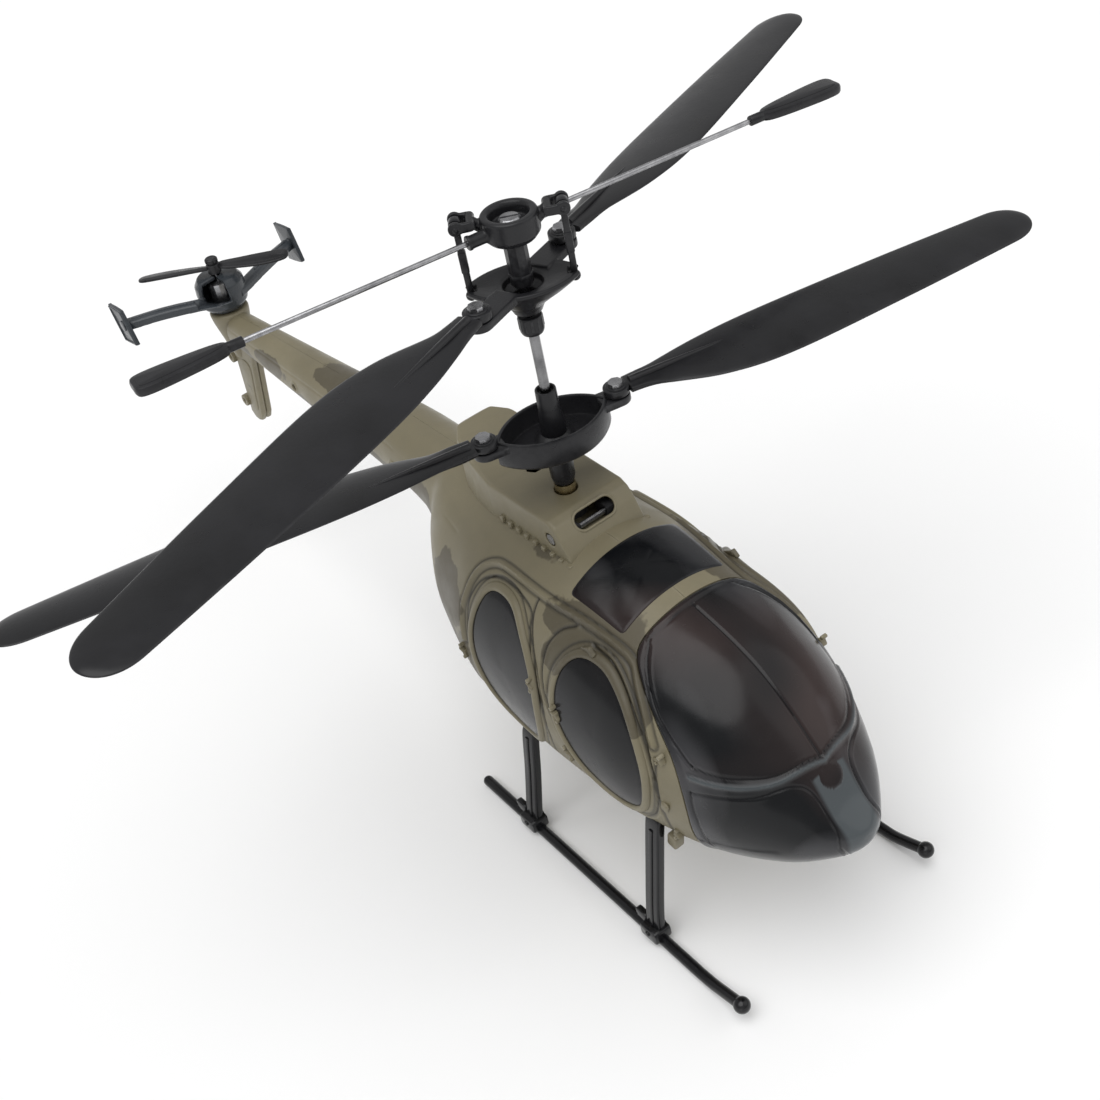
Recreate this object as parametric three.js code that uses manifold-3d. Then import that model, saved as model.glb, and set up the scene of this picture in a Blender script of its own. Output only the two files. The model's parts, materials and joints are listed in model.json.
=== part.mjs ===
// Toy helicopter with coaxial main rotors, a stabiliser bar and a flat-spinning tail rotor.
// Millimetres, +Z up. The nose points to -Y, the starboard (right) side is -X.
// The model's origin is on the ground, under the middle of the bounding box.

import * as THREE from 'three';
import { mergeVertices } from 'three/addons/utils/BufferGeometryUtils.js';
import Module from 'manifold-3d';

// ---- driving dimensions: heights (z) and stations (y) are measured from the mast's foot ----

const GAP = 0.3; // clearance between neighbouring pieces
const SKIN = 1.2; // wall of the body shell
const MAST_Y = -44.35; // the mast's station from the model's origin
const SKID_R = 1.25;
const SKID_SIDES = 12;
const SKID_Z = -79.65; // skid tube axis
const SKID_X = 25.7;
const SKID_FLAT = SKID_R * Math.cos(Math.PI / SKID_SIDES);
const DECK_Z = SKID_FLAT - SKID_Z; // the mast's foot above the ground

const NOSE_Y = -77.5;
const BOOM_END_Y = 148;
// Lines of the hull: station y, half width, top z, belly z, z of the widest point.
const HULL_LINES = [
  [NOSE_Y, 0.3, -39.8, -41.2, -40.5],
  [-73.5, 7.6, -35.6, -46.4, -40.5],
  [-66, 13.9, -25.9, -51.6, -39],
  [-50, 21.3, -13.1, -56.8, -38],
  [-32, 25.2, -8, -58.9, -35.5],
  [-12, 25.7, -4.8, -60.2, -35.5],
  [8, 25, -5.2, -59.4, -35],
  [28, 20, -7.6, -51, -31.8],
  [35, 15.6, -8, -43.6, -27.4],
  [40, 10.9, -8.1, -33.6, -21.8],
  [47, 9.2, -8.3, -28.2, -18.6],
  [60, 8.6, -8.6, -25.8, -17.2],
  [100, 6.6, -11.7, -24.8, -18.2],
  [BOOM_END_Y, 4.4, -15.2, -24, -19.6],
];
// Sections of the faceted hull: every station outside, every other one inside.
const STATIONS = [NOSE_Y, -76.4, -74.4, -71, -66, -59, -50, -40, -28, -16, -4, 8, 18, 28, 35, 40, 47, 60,
  100, 124, BOOM_END_Y];
const INNER_STATIONS = [NOSE_Y, -74.4, -66, -50, -28, -4, 18, 28, 35, 40, 47, 100, BOOM_END_Y];
const ROUND_TOP = 2.1; // exponents of the hull's rounded sections
const ROUND_BELLY = 2.25;

const OUTER_SHAFT_R = 1.5;
const INNER_SHAFT_R = 1;
const ROTOR_R = 109;
const TAIL_ROTOR_R = 20.5;
const TAIL_Y = 153.2; // tail motor axis
const FLYBAR_R = 70;
const HUB_PIVOT_Z = 44; // teeter pin of the upper hub
const FLYBAR_PIVOT_Z = 58.6; // teeter pin of the stabiliser bar
const EAR_R = 9.4; // link pins, out from the mast
const EAR_Z = 60.8;
const BLADE_PIN_R = 14; // blade screws, out from the mast
const LOWER_BLADE_Z = 17.2;
const UPPER_BLADE_Z = 48.4;
const LOWER_AZIMUTH = -13; // degrees, where each rotor rests
const LINK_AZIMUTH = 147;
const UPPER_BLADE_TURN = 53; // from the link line to the blades
const FLYBAR_TURN = 25; // from the link line to the stabiliser bar

const MODULE = 0.7; // gear tooth size
const GEAR_TEETH = 40;
const PINION_TEETH = 8;
const MESH_PLAY = 0.35;
const MOTOR_Y = MODULE * (GEAR_TEETH + PINION_TEETH) / 2 + MESH_PLAY;
const MOTOR_R = 6;
const OUTER_GEAR_Z = -17.5;
const INNER_GEAR_Z = -43;
const GEAR_T = 2.5;

const FRONT_STRUT_Y = -41.2;
const REAR_STRUT_Y = 0.2;

const rad = THREE.MathUtils.degToRad;

// ---- materials ----

const finish = (color, roughness, metalness = 0) =>
  new THREE.MeshStandardMaterial({ color, roughness, metalness });
const OLIVE = finish(0x857c62, 0.5);
const GLOSS_BLACK = finish(0x1c1d20, 0.2);
const SATIN_BLACK = finish(0x2a2b2d, 0.45);
const TAIL_GREY = finish(0x3a3f44, 0.4);
const STEEL = finish(0xb8b8b8, 0.3, 1);
const BRASS = finish(0xb59a55, 0.35, 1);
const WHITE_NYLON = finish(0xd8d6cc, 0.5);
const BOARD_GREEN = finish(0x1f5a36, 0.5);
const BATTERY_FOIL = finish(0x8f969c, 0.4, 0.6);
const LEAD_RED = finish(0x8c2320, 0.5);
const CLEAR_LENS = finish(0xdfe6ea, 0.1);

// ---- solids: three.js geometry in, manifold booleans, three.js geometry out ----

const wasm = await Module();
wasm.setup();

function solid(geometry) {
  const bare = geometry.clone();
  bare.deleteAttribute('normal');
  if (bare.hasAttribute('uv')) bare.deleteAttribute('uv');
  const merged = mergeVertices(bare, 1e-4);
  const vertProperties = Float32Array.from(merged.getAttribute('position').array);
  const triVerts = Uint32Array.from(merged.getIndex().array);
  const make = () => new wasm.Manifold(new wasm.Mesh({ numProp: 3, vertProperties, triVerts }));
  let body = make();
  if (body.volume() < 0) {
    for (let i = 0; i < triVerts.length; i += 3) {
      [triVerts[i], triVerts[i + 1]] = [triVerts[i + 1], triVerts[i]];
    }
    body = make();
  }
  return body;
}

function geometryOf(body) {
  const mesh = body.getMesh();
  const geometry = new THREE.BufferGeometry();
  const corners = Float32Array.from(mesh.vertProperties);
  geometry.setAttribute('position', new THREE.BufferAttribute(corners, 3));
  geometry.setIndex(new THREE.BufferAttribute(Uint32Array.from(mesh.triVerts), 1));
  return geometry;
}

const span = (a, b) => [Math.min(a, b), Math.max(a, b)];
const join = (first, ...rest) => rest.reduce((all, one) => all.add(one), first);
const cut = (first, ...rest) => rest.reduce((all, one) => all.subtract(one), first);

// A box between two corners.
function block(x, y, z) {
  const geometry = new THREE.BoxGeometry(x[1] - x[0], y[1] - y[0], z[1] - z[0]);
  geometry.translate((x[0] + x[1]) / 2, (y[0] + y[1]) / 2, (z[0] + z[1]) / 2);
  return solid(geometry);
}

// A round bar between two points.
function bar(from, to, radius, sides = 8) {
  const a = new THREE.Vector3(...from);
  const b = new THREE.Vector3(...to);
  const axis = b.clone().sub(a);
  const geometry = new THREE.CylinderGeometry(radius, radius, axis.length(), sides);
  const turn = new THREE.Quaternion().setFromUnitVectors(new THREE.Vector3(0, 1, 0), axis.normalize());
  geometry.applyQuaternion(turn);
  geometry.translate((a.x + b.x) / 2, (a.y + b.y) / 2, (a.z + b.z) / 2);
  return solid(geometry);
}

function ball(at, radius, sides = 8) {
  const geometry = new THREE.SphereGeometry(radius, sides, sides / 2 + 2);
  geometry.translate(...at);
  return solid(geometry);
}

// A turned piece about Z: a closed profile of [radius, z] points.
function turned(profile, sides = 16) {
  const points = profile.map(([r, z]) => new THREE.Vector2(r, z));
  if (profile[0][0] > 0) points.push(points[0].clone());
  const geometry = new THREE.LatheGeometry(points, sides);
  geometry.rotateX(Math.PI / 2);
  return solid(geometry);
}

const outline = (points) => new THREE.Shape(points.map(([a, b]) => new THREE.Vector2(a, b)));

// A smooth closed outline through a few points.
function smoothOutline(points, divisions = 20) {
  const curve = new THREE.CatmullRomCurve3(points.map(([a, b]) => new THREE.Vector3(a, b, 0)), true);
  return new THREE.Shape(curve.getPoints(divisions).slice(0, -1).map((p) => new THREE.Vector2(p.x, p.y)));
}

function extruded(shape, depth) {
  return new THREE.ExtrudeGeometry(shape, { depth, bevelEnabled: false });
}

// A plan outline (x, y) raised from z0 to z1.
function plan(shape, z0, z1) {
  return solid(extruded(shape, z1 - z0).translate(0, 0, z0));
}

// A side outline (y, z) drawn across from x0 to x1.
function side(shape, x0, x1) {
  const toSide = new THREE.Matrix4().makeBasis(
    new THREE.Vector3(0, 1, 0),
    new THREE.Vector3(0, 0, 1),
    new THREE.Vector3(1, 0, 0),
  );
  return solid(extruded(shape, x1 - x0).applyMatrix4(toSide).translate(x0, 0, 0));
}

// A section swept along a smooth path.
function swept(shape, points, steps) {
  const path = new THREE.CatmullRomCurve3(points.map((p) => new THREE.Vector3(...p)), false, 'centripetal');
  return solid(new THREE.ExtrudeGeometry(shape, { steps, bevelEnabled: false, extrudePath: path }));
}

const polygon = (radius, sides, turn = 0) => outline(Array.from({ length: sides }, (_, i) => {
  const angle = turn + (i * 2 * Math.PI) / sides;
  return [radius * Math.cos(angle), radius * Math.sin(angle)];
}));

function shiftedOutline(points, grow) {
  const cx = points.reduce((sum, p) => sum + p[0], 0) / points.length;
  const cy = points.reduce((sum, p) => sum + p[1], 0) / points.length;
  return points.map(([a, b]) => {
    const far = Math.hypot(a - cx, b - cy);
    return [cx + (a - cx) * (1 + grow / far), cy + (b - cy) * (1 + grow / far)];
  });
}

// ---- the hull surface ----

// Monotone cubic through one column of the hull's lines, over the square root of the distance
// from the nose, so that the nose is round.
function hullLine(column) {
  const s = HULL_LINES.map((row) => Math.sqrt(row[0] - NOSE_Y));
  const v = HULL_LINES.map((row) => row[column]);
  const slope = s.slice(1).map((value, i) => (v[i + 1] - v[i]) / (value - s[i]));
  const tangent = v.map((_, i) => {
    if (i === 0) return slope[0];
    if (i === v.length - 1) return slope[i - 1];
    if (slope[i - 1] * slope[i] <= 0) return 0;
    return (2 * slope[i - 1] * slope[i]) / (slope[i - 1] + slope[i]);
  });
  return (y) => {
    const at = Math.sqrt(Math.max(y - NOSE_Y, 0));
    let i = 0;
    while (i < s.length - 2 && at > s[i + 1]) i += 1;
    const h = s[i + 1] - s[i];
    const t = (at - s[i]) / h;
    return v[i] * (1 + 2 * t) * (1 - t) ** 2 + h * tangent[i] * t * (1 - t) ** 2
      + v[i + 1] * t * t * (3 - 2 * t) + h * tangent[i + 1] * t * t * (t - 1);
  };
}
const [halfWidth, topLine, bellyLine, waistLine] = [1, 2, 3, 4].map(hullLine);

// The hull as a closed solid, drawn in (or let out) by inset.
function hull(inset, around, stations) {
  const positions = [];
  const index = [];
  const length = BOOM_END_Y - NOSE_Y;
  for (const y of stations) {
    const along = (y - NOSE_Y) / length;
    const w = Math.max(halfWidth(y) - inset, 0.2);
    const waist = waistLine(y);
    const up = Math.max(topLine(y) - waist - inset, 0.2);
    const down = Math.max(waist - bellyLine(y) - inset, 0.2);
    for (let j = 0; j < around; j += 1) {
      const angle = (j * 2 * Math.PI) / around;
      const c = Math.cos(angle);
      const s = Math.sin(angle);
      const power = 2 / (s > 0 ? ROUND_TOP : ROUND_BELLY);
      const x = w * Math.sign(c) * Math.abs(c) ** power;
      const z = waist + (s > 0 ? up : down) * Math.sign(s) * Math.abs(s) ** power;
      positions.push(x, y + inset * (1 - 2 * along), z);
    }
  }
  const first = positions.length / 3;
  positions.push(0, NOSE_Y + inset, waistLine(NOSE_Y), 0, BOOM_END_Y - inset, waistLine(BOOM_END_Y));
  const last = stations.length - 1;
  for (let i = 0; i < last; i += 1) {
    for (let j = 0; j < around; j += 1) {
      const a = i * around + j;
      const b = i * around + ((j + 1) % around);
      index.push(a, a + around, b, b, a + around, b + around);
    }
  }
  for (let j = 0; j < around; j += 1) {
    const next = (j + 1) % around;
    index.push(first, j, next);
    index.push(first + 1, last * around + next, last * around + j);
  }
  const geometry = new THREE.BufferGeometry();
  geometry.setAttribute('position', new THREE.Float32BufferAttribute(positions, 3));
  geometry.setIndex(index);
  geometry.setAttribute('normal', new THREE.Float32BufferAttribute(positions, 3));
  return solid(geometry);
}

// ---- assembly groups ----

const helicopter = new THREE.Group();
const airframe = new THREE.Group();
airframe.position.set(0, MAST_Y, DECK_Z);
helicopter.add(airframe);

function piece(name, body, material, parent = airframe) {
  const mesh = new THREE.Mesh(geometryOf(body), material);
  mesh.name = name;
  parent.add(mesh);
  return mesh;
}

// ---- body shell, canopy and windows ----

const SIDE_OUT = 40; // reaches past the hull's flank
const outerHull = hull(0, 28, STATIONS);
const innerHull = hull(SKIN, 16, INNER_STATIONS);
const skinSolid = outerHull.subtract(innerHull);

// Side view of the joint between canopy and body, from the roof down to the belly.
const CANOPY_EDGE = [[-33.8, 0], [-33.8, -8], [-34.4, -12], [-39.6, -16.4], [-43.6, -20],
  [-48.6, -25.8], [-51.4, -32.4], [-52.4, -40], [-52, -50], [-50.4, -70]];
function aheadOfEdge(back) {
  const edge = CANOPY_EDGE.map(([y, z]) => [y + back, z]);
  return side(outline([...edge, [-90, -70], [-90, 0]]), -SIDE_OUT, SIDE_OUT);
}

const REAR_WINDOW = [[5.2, -16.6], [8.2, -26], [7, -35.5], [0.5, -43.6], [-8.6, -45.4], [-13, -38],
  [-12.6, -25.5], [-6.2, -16.9], [-0.4, -14.6]];
const FRONT_WINDOW = [[-24.6, -15.6], [-21, -19], [-19.8, -25], [-21.2, -32], [-27, -39.6],
  [-35.6, -43.4], [-41.6, -41], [-43.3, -33.5], [-41.6, -26.5], [-37, -19.8], [-31, -16]];
const ROOF_WINDOW = [[-13.6, -15.6], [13.6, -15.6], [12.9, -30.3], [-12.9, -30.3]];

const sideWindow = (points, grow, x0, x1) => side(smoothOutline(shiftedOutline(points, grow)), x0, x1);
const roofOpening = (grow) => plan(outline(shiftedOutline(ROOF_WINDOW, grow)), -16, 0);

const LAMP = { y: -76.2, z: -39.7, radius: 1.5 };
const lampBar = (radius) => bar([0, LAMP.y - 4, LAMP.z], [0, LAMP.y + 5, LAMP.z - 1.5], radius, 10);
const canopyForm = skinSolid.intersect(aheadOfEdge(-GAP / 2));
piece('canopy', cut(canopyForm, lampBar(LAMP.radius + GAP / 2)), GLOSS_BLACK);
piece('nose_lamp', cut(lampBar(LAMP.radius), block([-9, 9], [-90, LAMP.y - 1.9], [-60, -20])), CLEAR_LENS);

// Fin, the neck that carries the tail motor, and the screw bosses on the fin's trailing edge.
const FIN_T = 3.4;
const FIN = [[139, -19], [144.8, -28.4], [151.4, -49], [153.8, -52], [157, -52.5], [158.8, -50.4],
  [157.9, -44], [156.2, -32.5], [156.6, -20], [150, -15.6]];
const FIN_BOSSES = [[157.4, -31.4], [159, -46.9]];
const neck = turned([[0, -30], [2.4, -30], [4.2, -22], [5.6, -14.4], [0, -14.4]], 14);
const fin = join(
  side(outline(FIN), -FIN_T / 2, FIN_T / 2),
  neck.translate([0, TAIL_Y - 0.6, 0]),
  ...FIN_BOSSES.map(([y, z]) => bar([-2.6, y, z], [2.6, y, z], 1.7, 8)),
);

// Struts leave the belly through four holes; the switch and the charging socket through two more.
const STRUT_TOP = { front: [20.9, FRONT_STRUT_Y, -48.4], rear: [21.2, REAR_STRUT_Y, -52.4] };
const strutHoles = Object.values(STRUT_TOP).flatMap(([x, y, z]) => [-1, 1].map((hand) =>
  block([hand * x - 5.6, hand * x + 5.6], [y - 2.4, y + 2.4], [z - 6, z + 4.5])));
const SWITCH = { x: 5.5, y: -20, travel: 3 };
const SOCKET = { x: 5.5, y: 6.9 };
const bellyHoles = [
  block([SWITCH.x - 1.9, SWITCH.x + 1.9], [SWITCH.y - 3.4, SWITCH.y + 3.4], [-64, -55]),
  bar([SOCKET.x, SOCKET.y, -64], [SOCKET.x, SOCKET.y, -54], 2.2),
];
const mastHole = block([-6.5, 6.5], [-9, 12], [-14, 2]);

// Screws across the boom join the two halves; each has a boss with a bore.
const BODY_SCREWS = [['boom_screw_front', 58, -17.4, 8.6], ['boom_screw_rear', 108, -18.4, 6.1]];
const bosses = BODY_SCREWS.map(([, y, z]) => bar([-8, y, z], [8, y, z], 2.4, 8).intersect(outerHull));
const screwBores = BODY_SCREWS.flatMap(([, y, z, reach]) => [
  bar([-2.5, y, z], [9, y, z], 0.9, 8),
  bar([reach - 2.2, y, z], [12, y, z], 1.7, 8),
]);
const LEAD_ROUTE = [[0, 27, -27], [0, 44, -20], [0, 54, -22.4], [0, 62, -22.2], [0, 100, -21.6],
  [0, 134, -20.8], [0, 150.6, -20.8]];
const leadBore = join(
  bar([0, 139, -20.8], [0, TAIL_Y, -20.8], 1.1),
  bar([0, TAIL_Y - 0.6, -21], [0, TAIL_Y - 0.6, -13], 1.2),
);

const plainHoles = [aheadOfEdge(GAP / 2), roofOpening(GAP / 2), mastHole, ...strutHoles, ...bellyHoles];
let shell = cut(skinSolid, ...plainHoles);
for (const opening of [REAR_WINDOW, FRONT_WINDOW]) {
  shell = shell.subtract(sideWindow(opening, GAP / 2, -SIDE_OUT, SIDE_OUT));
}
const boomCore = innerHull.intersect(block([-12, 12], [20, 142], [-40, 0]));
const cupRoom = bar([0, TAIL_Y, -14.3], [0, TAIL_Y, 0], 7.2, 16);
shell = cut(join(shell, fin.subtract(boomCore), ...bosses), ...screwBores, leadBore, cupRoom);

for (const [hand, x] of [['right', [-SIDE_OUT, -GAP / 2]], ['left', [GAP / 2, SIDE_OUT]]]) {
  const half = shell.intersect(block(x, [-90, 190], [-80, 20]));
  piece(`fuselage_${hand}_half`, half, OLIVE);
  for (const [which, points] of [['front', FRONT_WINDOW], ['rear', REAR_WINDOW]]) {
    const pane = skinSolid.intersect(sideWindow(points, -GAP / 2, ...x));
    piece(`${which}_door_window_${hand}`, pane, GLOSS_BLACK);
  }
}
piece('roof_window', skinSolid.intersect(roofOpening(-GAP / 2)), GLOSS_BLACK);

for (const [name, y, z, reach] of BODY_SCREWS) {
  const shank = bar([-2.2, y, z], [reach - 2.1, y, z], 0.7, 8);
  const head = bar([reach - 2.1, y, z], [reach - 1, y, z], 1.4, 8);
  const slot = block([reach - 1.4, reach], [y - 2, y + 2], [z - 0.2, z + 0.2]);
  piece(name, cut(join(shank, head), slot), STEEL);
}

// ---- engine cowling on the roof, with its slot, cross pin and screws ----

const COWL_W = 9.6;
const COWL_T = 1.1;
const cowlSide = (t) => outline([[-12.9 + t, -16], [-12.4 + t, -8.6], [-11.2 + t, -5.4], [-9.4 + t, -2.4],
  [-7.6 + t, -0.2 - t], [-5.6 + t, 0.7 - t], [13, 0.7 - t], [20, 2 - t], [26, 4 - t], [30 - t, 4.6 - t],
  [31.6 - t, 3.6 - t], [31.4 - t, 0], [29.4 - t, -16]]);
const cowlPlan = (t) => outline([[-COWL_W + t, -20], [COWL_W - t, -20], [COWL_W - t, 14],
  [8.6 - t, 21], [7 - t, 27 - t / 2], [4 - t / 2, 31 - t], [0, 32.2 - t], [-4 + t / 2, 31 - t],
  [-7 + t, 27 - t / 2], [-8.6 + t, 21], [-COWL_W + t, 14]]);
const cowlForm = (t, z1) => side(cowlSide(t), -COWL_W - 1, COWL_W + 1).intersect(plan(cowlPlan(t), -18, z1));
// The slot is cut square to the sloping front face.
const SLOT = { y: -8.5, z: -1.3, half: 2.9, radius: 2.1, slope: -39 };
const slotCut = join(
  ...[-1, 1].map((hand) => bar([hand * SLOT.half, -4.5, 0], [hand * SLOT.half, 4.5, 0], SLOT.radius, 12)),
  block([-SLOT.half, SLOT.half], [-4.5, 4.5], [-SLOT.radius, SLOT.radius]),
).rotate([SLOT.slope, 0, 0]).translate([0, SLOT.y, SLOT.z]);
const COWL_SCREW = { y: -5.8, z: -3.6 };
const cowling = cut(
  cowlForm(0, 12),
  cowlForm(COWL_T, 12),
  hull(-GAP, 28, STATIONS),
  bar([0, 0, -3], [0, 0, 3], 2.6, 14),
  plan(polygon(1.9, 6), -3, 3).translate([0, 10.4, 0]),
  slotCut,
  ...[-7, 7].map((x) => bar([x, COWL_SCREW.y, COWL_SCREW.z], [x * 2, COWL_SCREW.y, COWL_SCREW.z], 1.5, 10)),
);
piece('engine_cowling', cowling, OLIVE);
for (const [hand, sign] of [['right', -1], ['left', 1]]) {
  const { y, z } = COWL_SCREW;
  const shank = bar([sign * 5.4, y, z], [sign * 8.6, y, z], 0.6);
  const head = bar([sign * 8.4, y, z], [sign * 9.3, y, z], 1.2);
  piece(`cowling_screw_${hand}`, join(shank, head), STEEL);
}

// ---- main frame with bearings, motors and electronics ----

const FRAME_W = 8;
const CROSS_PIN = { y: -7, z: -3.6 };
const FRAME_Y = MOTOR_Y + MOTOR_R + 1.2;
const frameHoles = [
  bar([0, 0, -60], [0, 0, 10], 2.3, 14),
  bar([0, MOTOR_Y, -60], [0, MOTOR_Y, -14], MOTOR_R + 0.2, 16),
  bar([0, -MOTOR_Y, -47], [0, -MOTOR_Y, -14], MOTOR_R + 0.2, 16),
];
const upperDecks = join(
  block([-FRAME_W, FRAME_W], [-FRAME_Y, FRAME_Y + 1.5], [-12.6, -11]),
  block([-FRAME_W, FRAME_W], [-FRAME_Y, FRAME_Y + 1.5], [-31, -28]),
  block([-FRAME_W, FRAME_W], [FRAME_Y, FRAME_Y + 1.5], [-45.5, -11]),
  block([-FRAME_W, FRAME_W], [-FRAME_Y - 1.5, -FRAME_Y], [-48.6, -11]),
  bar([0, 0, -12.6], [0, 0, -2.2], 3.6, 14),
  ...[-1, 1].map((hand) => block([hand * 4.3 - 0.9, hand * 4.3 + 0.9], [-8.2, -4], [-12.6, -2.4])),
);
const frameFloor = join(
  block([-10, 10], [-38.2, 16.4], [-50, -48.5]),
  block([-6, 6], [15, 16.4], [-50, -44]),
  block([-6, 6], [15, FRAME_Y + 1.5], [-45.5, -44]),
);
const frameShape = join(
  cut(upperDecks, ...frameHoles),
  frameFloor.subtract(bar([0, 0, -60], [0, 0, -40], INNER_SHAFT_R + 0.2, 12)),
);
const FOOT_BORE = INNER_SHAFT_R + 0.2;
const shaftBoss = turned([[FOOT_BORE, -50], [3, -50], [3, -45.6], [FOOT_BORE, -45.6]], 12);
const crossPinBore = bar([-12, CROSS_PIN.y, CROSS_PIN.z], [12, CROSS_PIN.y, CROSS_PIN.z], 0.8, 8);
const leadHole = bar([0, FRAME_Y - 2, -27], [0, FRAME_Y + 4, -27], 1, 8);
piece('main_frame', cut(join(frameShape, shaftBoss), crossPinBore, leadHole), SATIN_BLACK);
const crossPin = bar([-6.4, CROSS_PIN.y, CROSS_PIN.z], [6.4, CROSS_PIN.y, CROSS_PIN.z], 0.6);
piece('cowling_cross_pin', crossPin, STEEL);
piece('mast_bushing', turned([[1.65, -9.8], [2.15, -9.8], [2.15, 2.4], [1.65, 2.4]], 14), BRASS);

function motor(name, y, z0, z1, shaftZ) {
  const can = turned([[0, z0], [MOTOR_R - 0.6, z0], [MOTOR_R, z0 + 0.6], [MOTOR_R, z1 - 0.6],
    [MOTOR_R - 0.6, z1], [0, z1]], 16);
  const shaft = bar([0, 0, (z0 + z1) / 2], [0, 0, shaftZ], 0.5, 8);
  const mesh = piece(name, join(can, shaft), STEEL);
  mesh.position.y = y;
}
motor('rear_motor', MOTOR_Y, -37, -20, -13.5);
motor('front_motor', -MOTOR_Y, -38, -21, -44.5);

piece('battery', block([-8.5, 8.5], [-33.4, -27.2], [-48.2, -23.2]), BATTERY_FOIL);
const board = join(
  block([-9.5, 9.5], [-37, -35.8], [-48.2, -20]),
  block([-3.5, 3.5], [-38.2, -37], [-40, -33]),
  block([-7, -2], [-35.8, -34.6], [-30, -24]),
  block([4, 7], [-38.4, -37], [-28, -22]),
);
piece('circuit_board', board, BOARD_GREEN);
const housing = block([SWITCH.x - 4, SWITCH.x + 4], [SWITCH.y - 6, SWITCH.y + 6], [-56.4, -50.3]);
const slide = block([SWITCH.x - 1.4, SWITCH.x + 1.4], [SWITCH.y - 4.2, SWITCH.y + 4.2], [-58, -54.6]);
piece('switch_housing', housing.subtract(slide), SATIN_BLACK);
const knobFoot = block([-1.1, 1.1], [-2.4, 2.4], [-56.4, -54.9]);
const knob = join(knobFoot, block([-1.1, 1.1], [-1.2, 1.2], [-60.6, -56.4]));
piece('power_switch', knob, SATIN_BLACK).position.set(SWITCH.x, SWITCH.y - SWITCH.travel / 2, 0);
const socketBody = block([SOCKET.x - 3.5, SOCKET.x + 3.5], [SOCKET.y - 4, SOCKET.y + 4], [-53.8, -50.3]);
const socketBore = bar([SOCKET.x, SOCKET.y, -58], [SOCKET.x, SOCKET.y, -51.5], 1.7);
piece('charge_socket', socketBody.subtract(socketBore), SATIN_BLACK);

// ---- drive gears and shafts ----

function gear(teeth, thickness, bore) {
  const pitch = (MODULE * teeth) / 2;
  const tip = pitch + 0.75 * MODULE;
  const root = pitch - 1.2 * MODULE;
  const points = [];
  for (let i = 0; i < teeth; i += 1) {
    const centre = (i * 2 * Math.PI) / teeth;
    const step = (2 * Math.PI) / teeth;
    for (const [radius, share] of [[root, -0.25], [tip, -0.11], [tip, 0.11], [root, 0.25]]) {
      points.push([radius * Math.cos(centre + share * step), radius * Math.sin(centre + share * step)]);
    }
  }
  return plan(outline(points), 0, thickness).subtract(bar([0, 0, -1], [0, 0, thickness + 1], bore, 12));
}

function mainGear(bore) {
  const hub = turned([[bore, -1.2], [3.4, -1.2], [3.4, GEAR_T + 0.8], [bore, GEAR_T + 0.8]], 12);
  return gear(GEAR_TEETH, GEAR_T, bore).add(hub);
}

const lowerRotor = new THREE.Group();
const upperRotor = new THREE.Group();
lowerRotor.rotation.z = rad(LOWER_AZIMUTH);
upperRotor.rotation.z = rad(LINK_AZIMUTH);
airframe.add(lowerRotor, upperRotor);

// A gear's tooth gap faces its pinion, whose tooth points back at the mast.
const toothGap = Math.PI / GEAR_TEETH;
const outerGear = piece('outer_shaft_gear', mainGear(OUTER_SHAFT_R + 0.1), WHITE_NYLON, airframe);
outerGear.position.z = OUTER_GEAR_Z;
outerGear.rotation.z = Math.PI / 2 + toothGap;
const innerGear = piece('inner_shaft_gear', mainGear(INNER_SHAFT_R + 0.1), WHITE_NYLON, airframe);
innerGear.position.z = INNER_GEAR_Z;
innerGear.rotation.z = -Math.PI / 2 + toothGap;
for (const [name, y, z, facing] of [['rear_pinion', MOTOR_Y, OUTER_GEAR_Z, -Math.PI / 2],
  ['front_pinion', -MOTOR_Y, INNER_GEAR_Z, Math.PI / 2]]) {
  const pinion = piece(name, gear(PINION_TEETH, GEAR_T + 0.6, 0.6), BRASS);
  pinion.position.set(0, y, z - 0.3);
  pinion.rotation.z = facing;
}

piece('outer_shaft', turned([[1.15, -19.6], [OUTER_SHAFT_R, -19.6], [OUTER_SHAFT_R, 23.4], [1.15, 23.4]], 14),
  STEEL, lowerRotor);
// The inner shaft carries two cross pins, square to the link line, for the hub and the stabiliser bar.
const innerShaft = join(
  bar([0, 0, -49.4], [0, 0, 59], INNER_SHAFT_R, 12),
  bar([0, -2.9, HUB_PIVOT_Z], [0, 2.9, HUB_PIVOT_Z], 0.45, 8),
  bar([0, -4.7, FLYBAR_PIVOT_Z], [0, 4.7, FLYBAR_PIVOT_Z], 0.5, 8),
);
piece('inner_shaft', innerShaft, STEEL, upperRotor);

// ---- rotor hubs ----

// A plan outline with two pointed ends on the X axis, made of two arcs.
function lensOutline(tip, half, divisions = 8) {
  const radius = (tip * tip + half * half) / (2 * half);
  const sweep = Math.asin(tip / radius);
  const arc = (sign) => Array.from({ length: divisions }, (_, i) => {
    const angle = sweep - (i * 2 * sweep) / divisions;
    return [sign * radius * Math.sin(angle), sign * (radius * Math.cos(angle) - radius + half)];
  });
  return outline([...arc(1), ...arc(-1)]);
}

const bladeTongues = (z) => [1, -1].flatMap((hand) => [
  block(span(hand * 5, hand * BLADE_PIN_R), [-2.6, 2.6], [z - 1.9, z - 0.3]),
  bar([hand * BLADE_PIN_R, 0, z - 1.9], [hand * BLADE_PIN_R, 0, z - 0.3], 2.6, 12),
]);
const pinHoles = (z) => [1, -1].map((hand) =>
  bar([hand * BLADE_PIN_R, 0, z - 3], [hand * BLADE_PIN_R, 0, z + 3], 0.85, 8));

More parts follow.
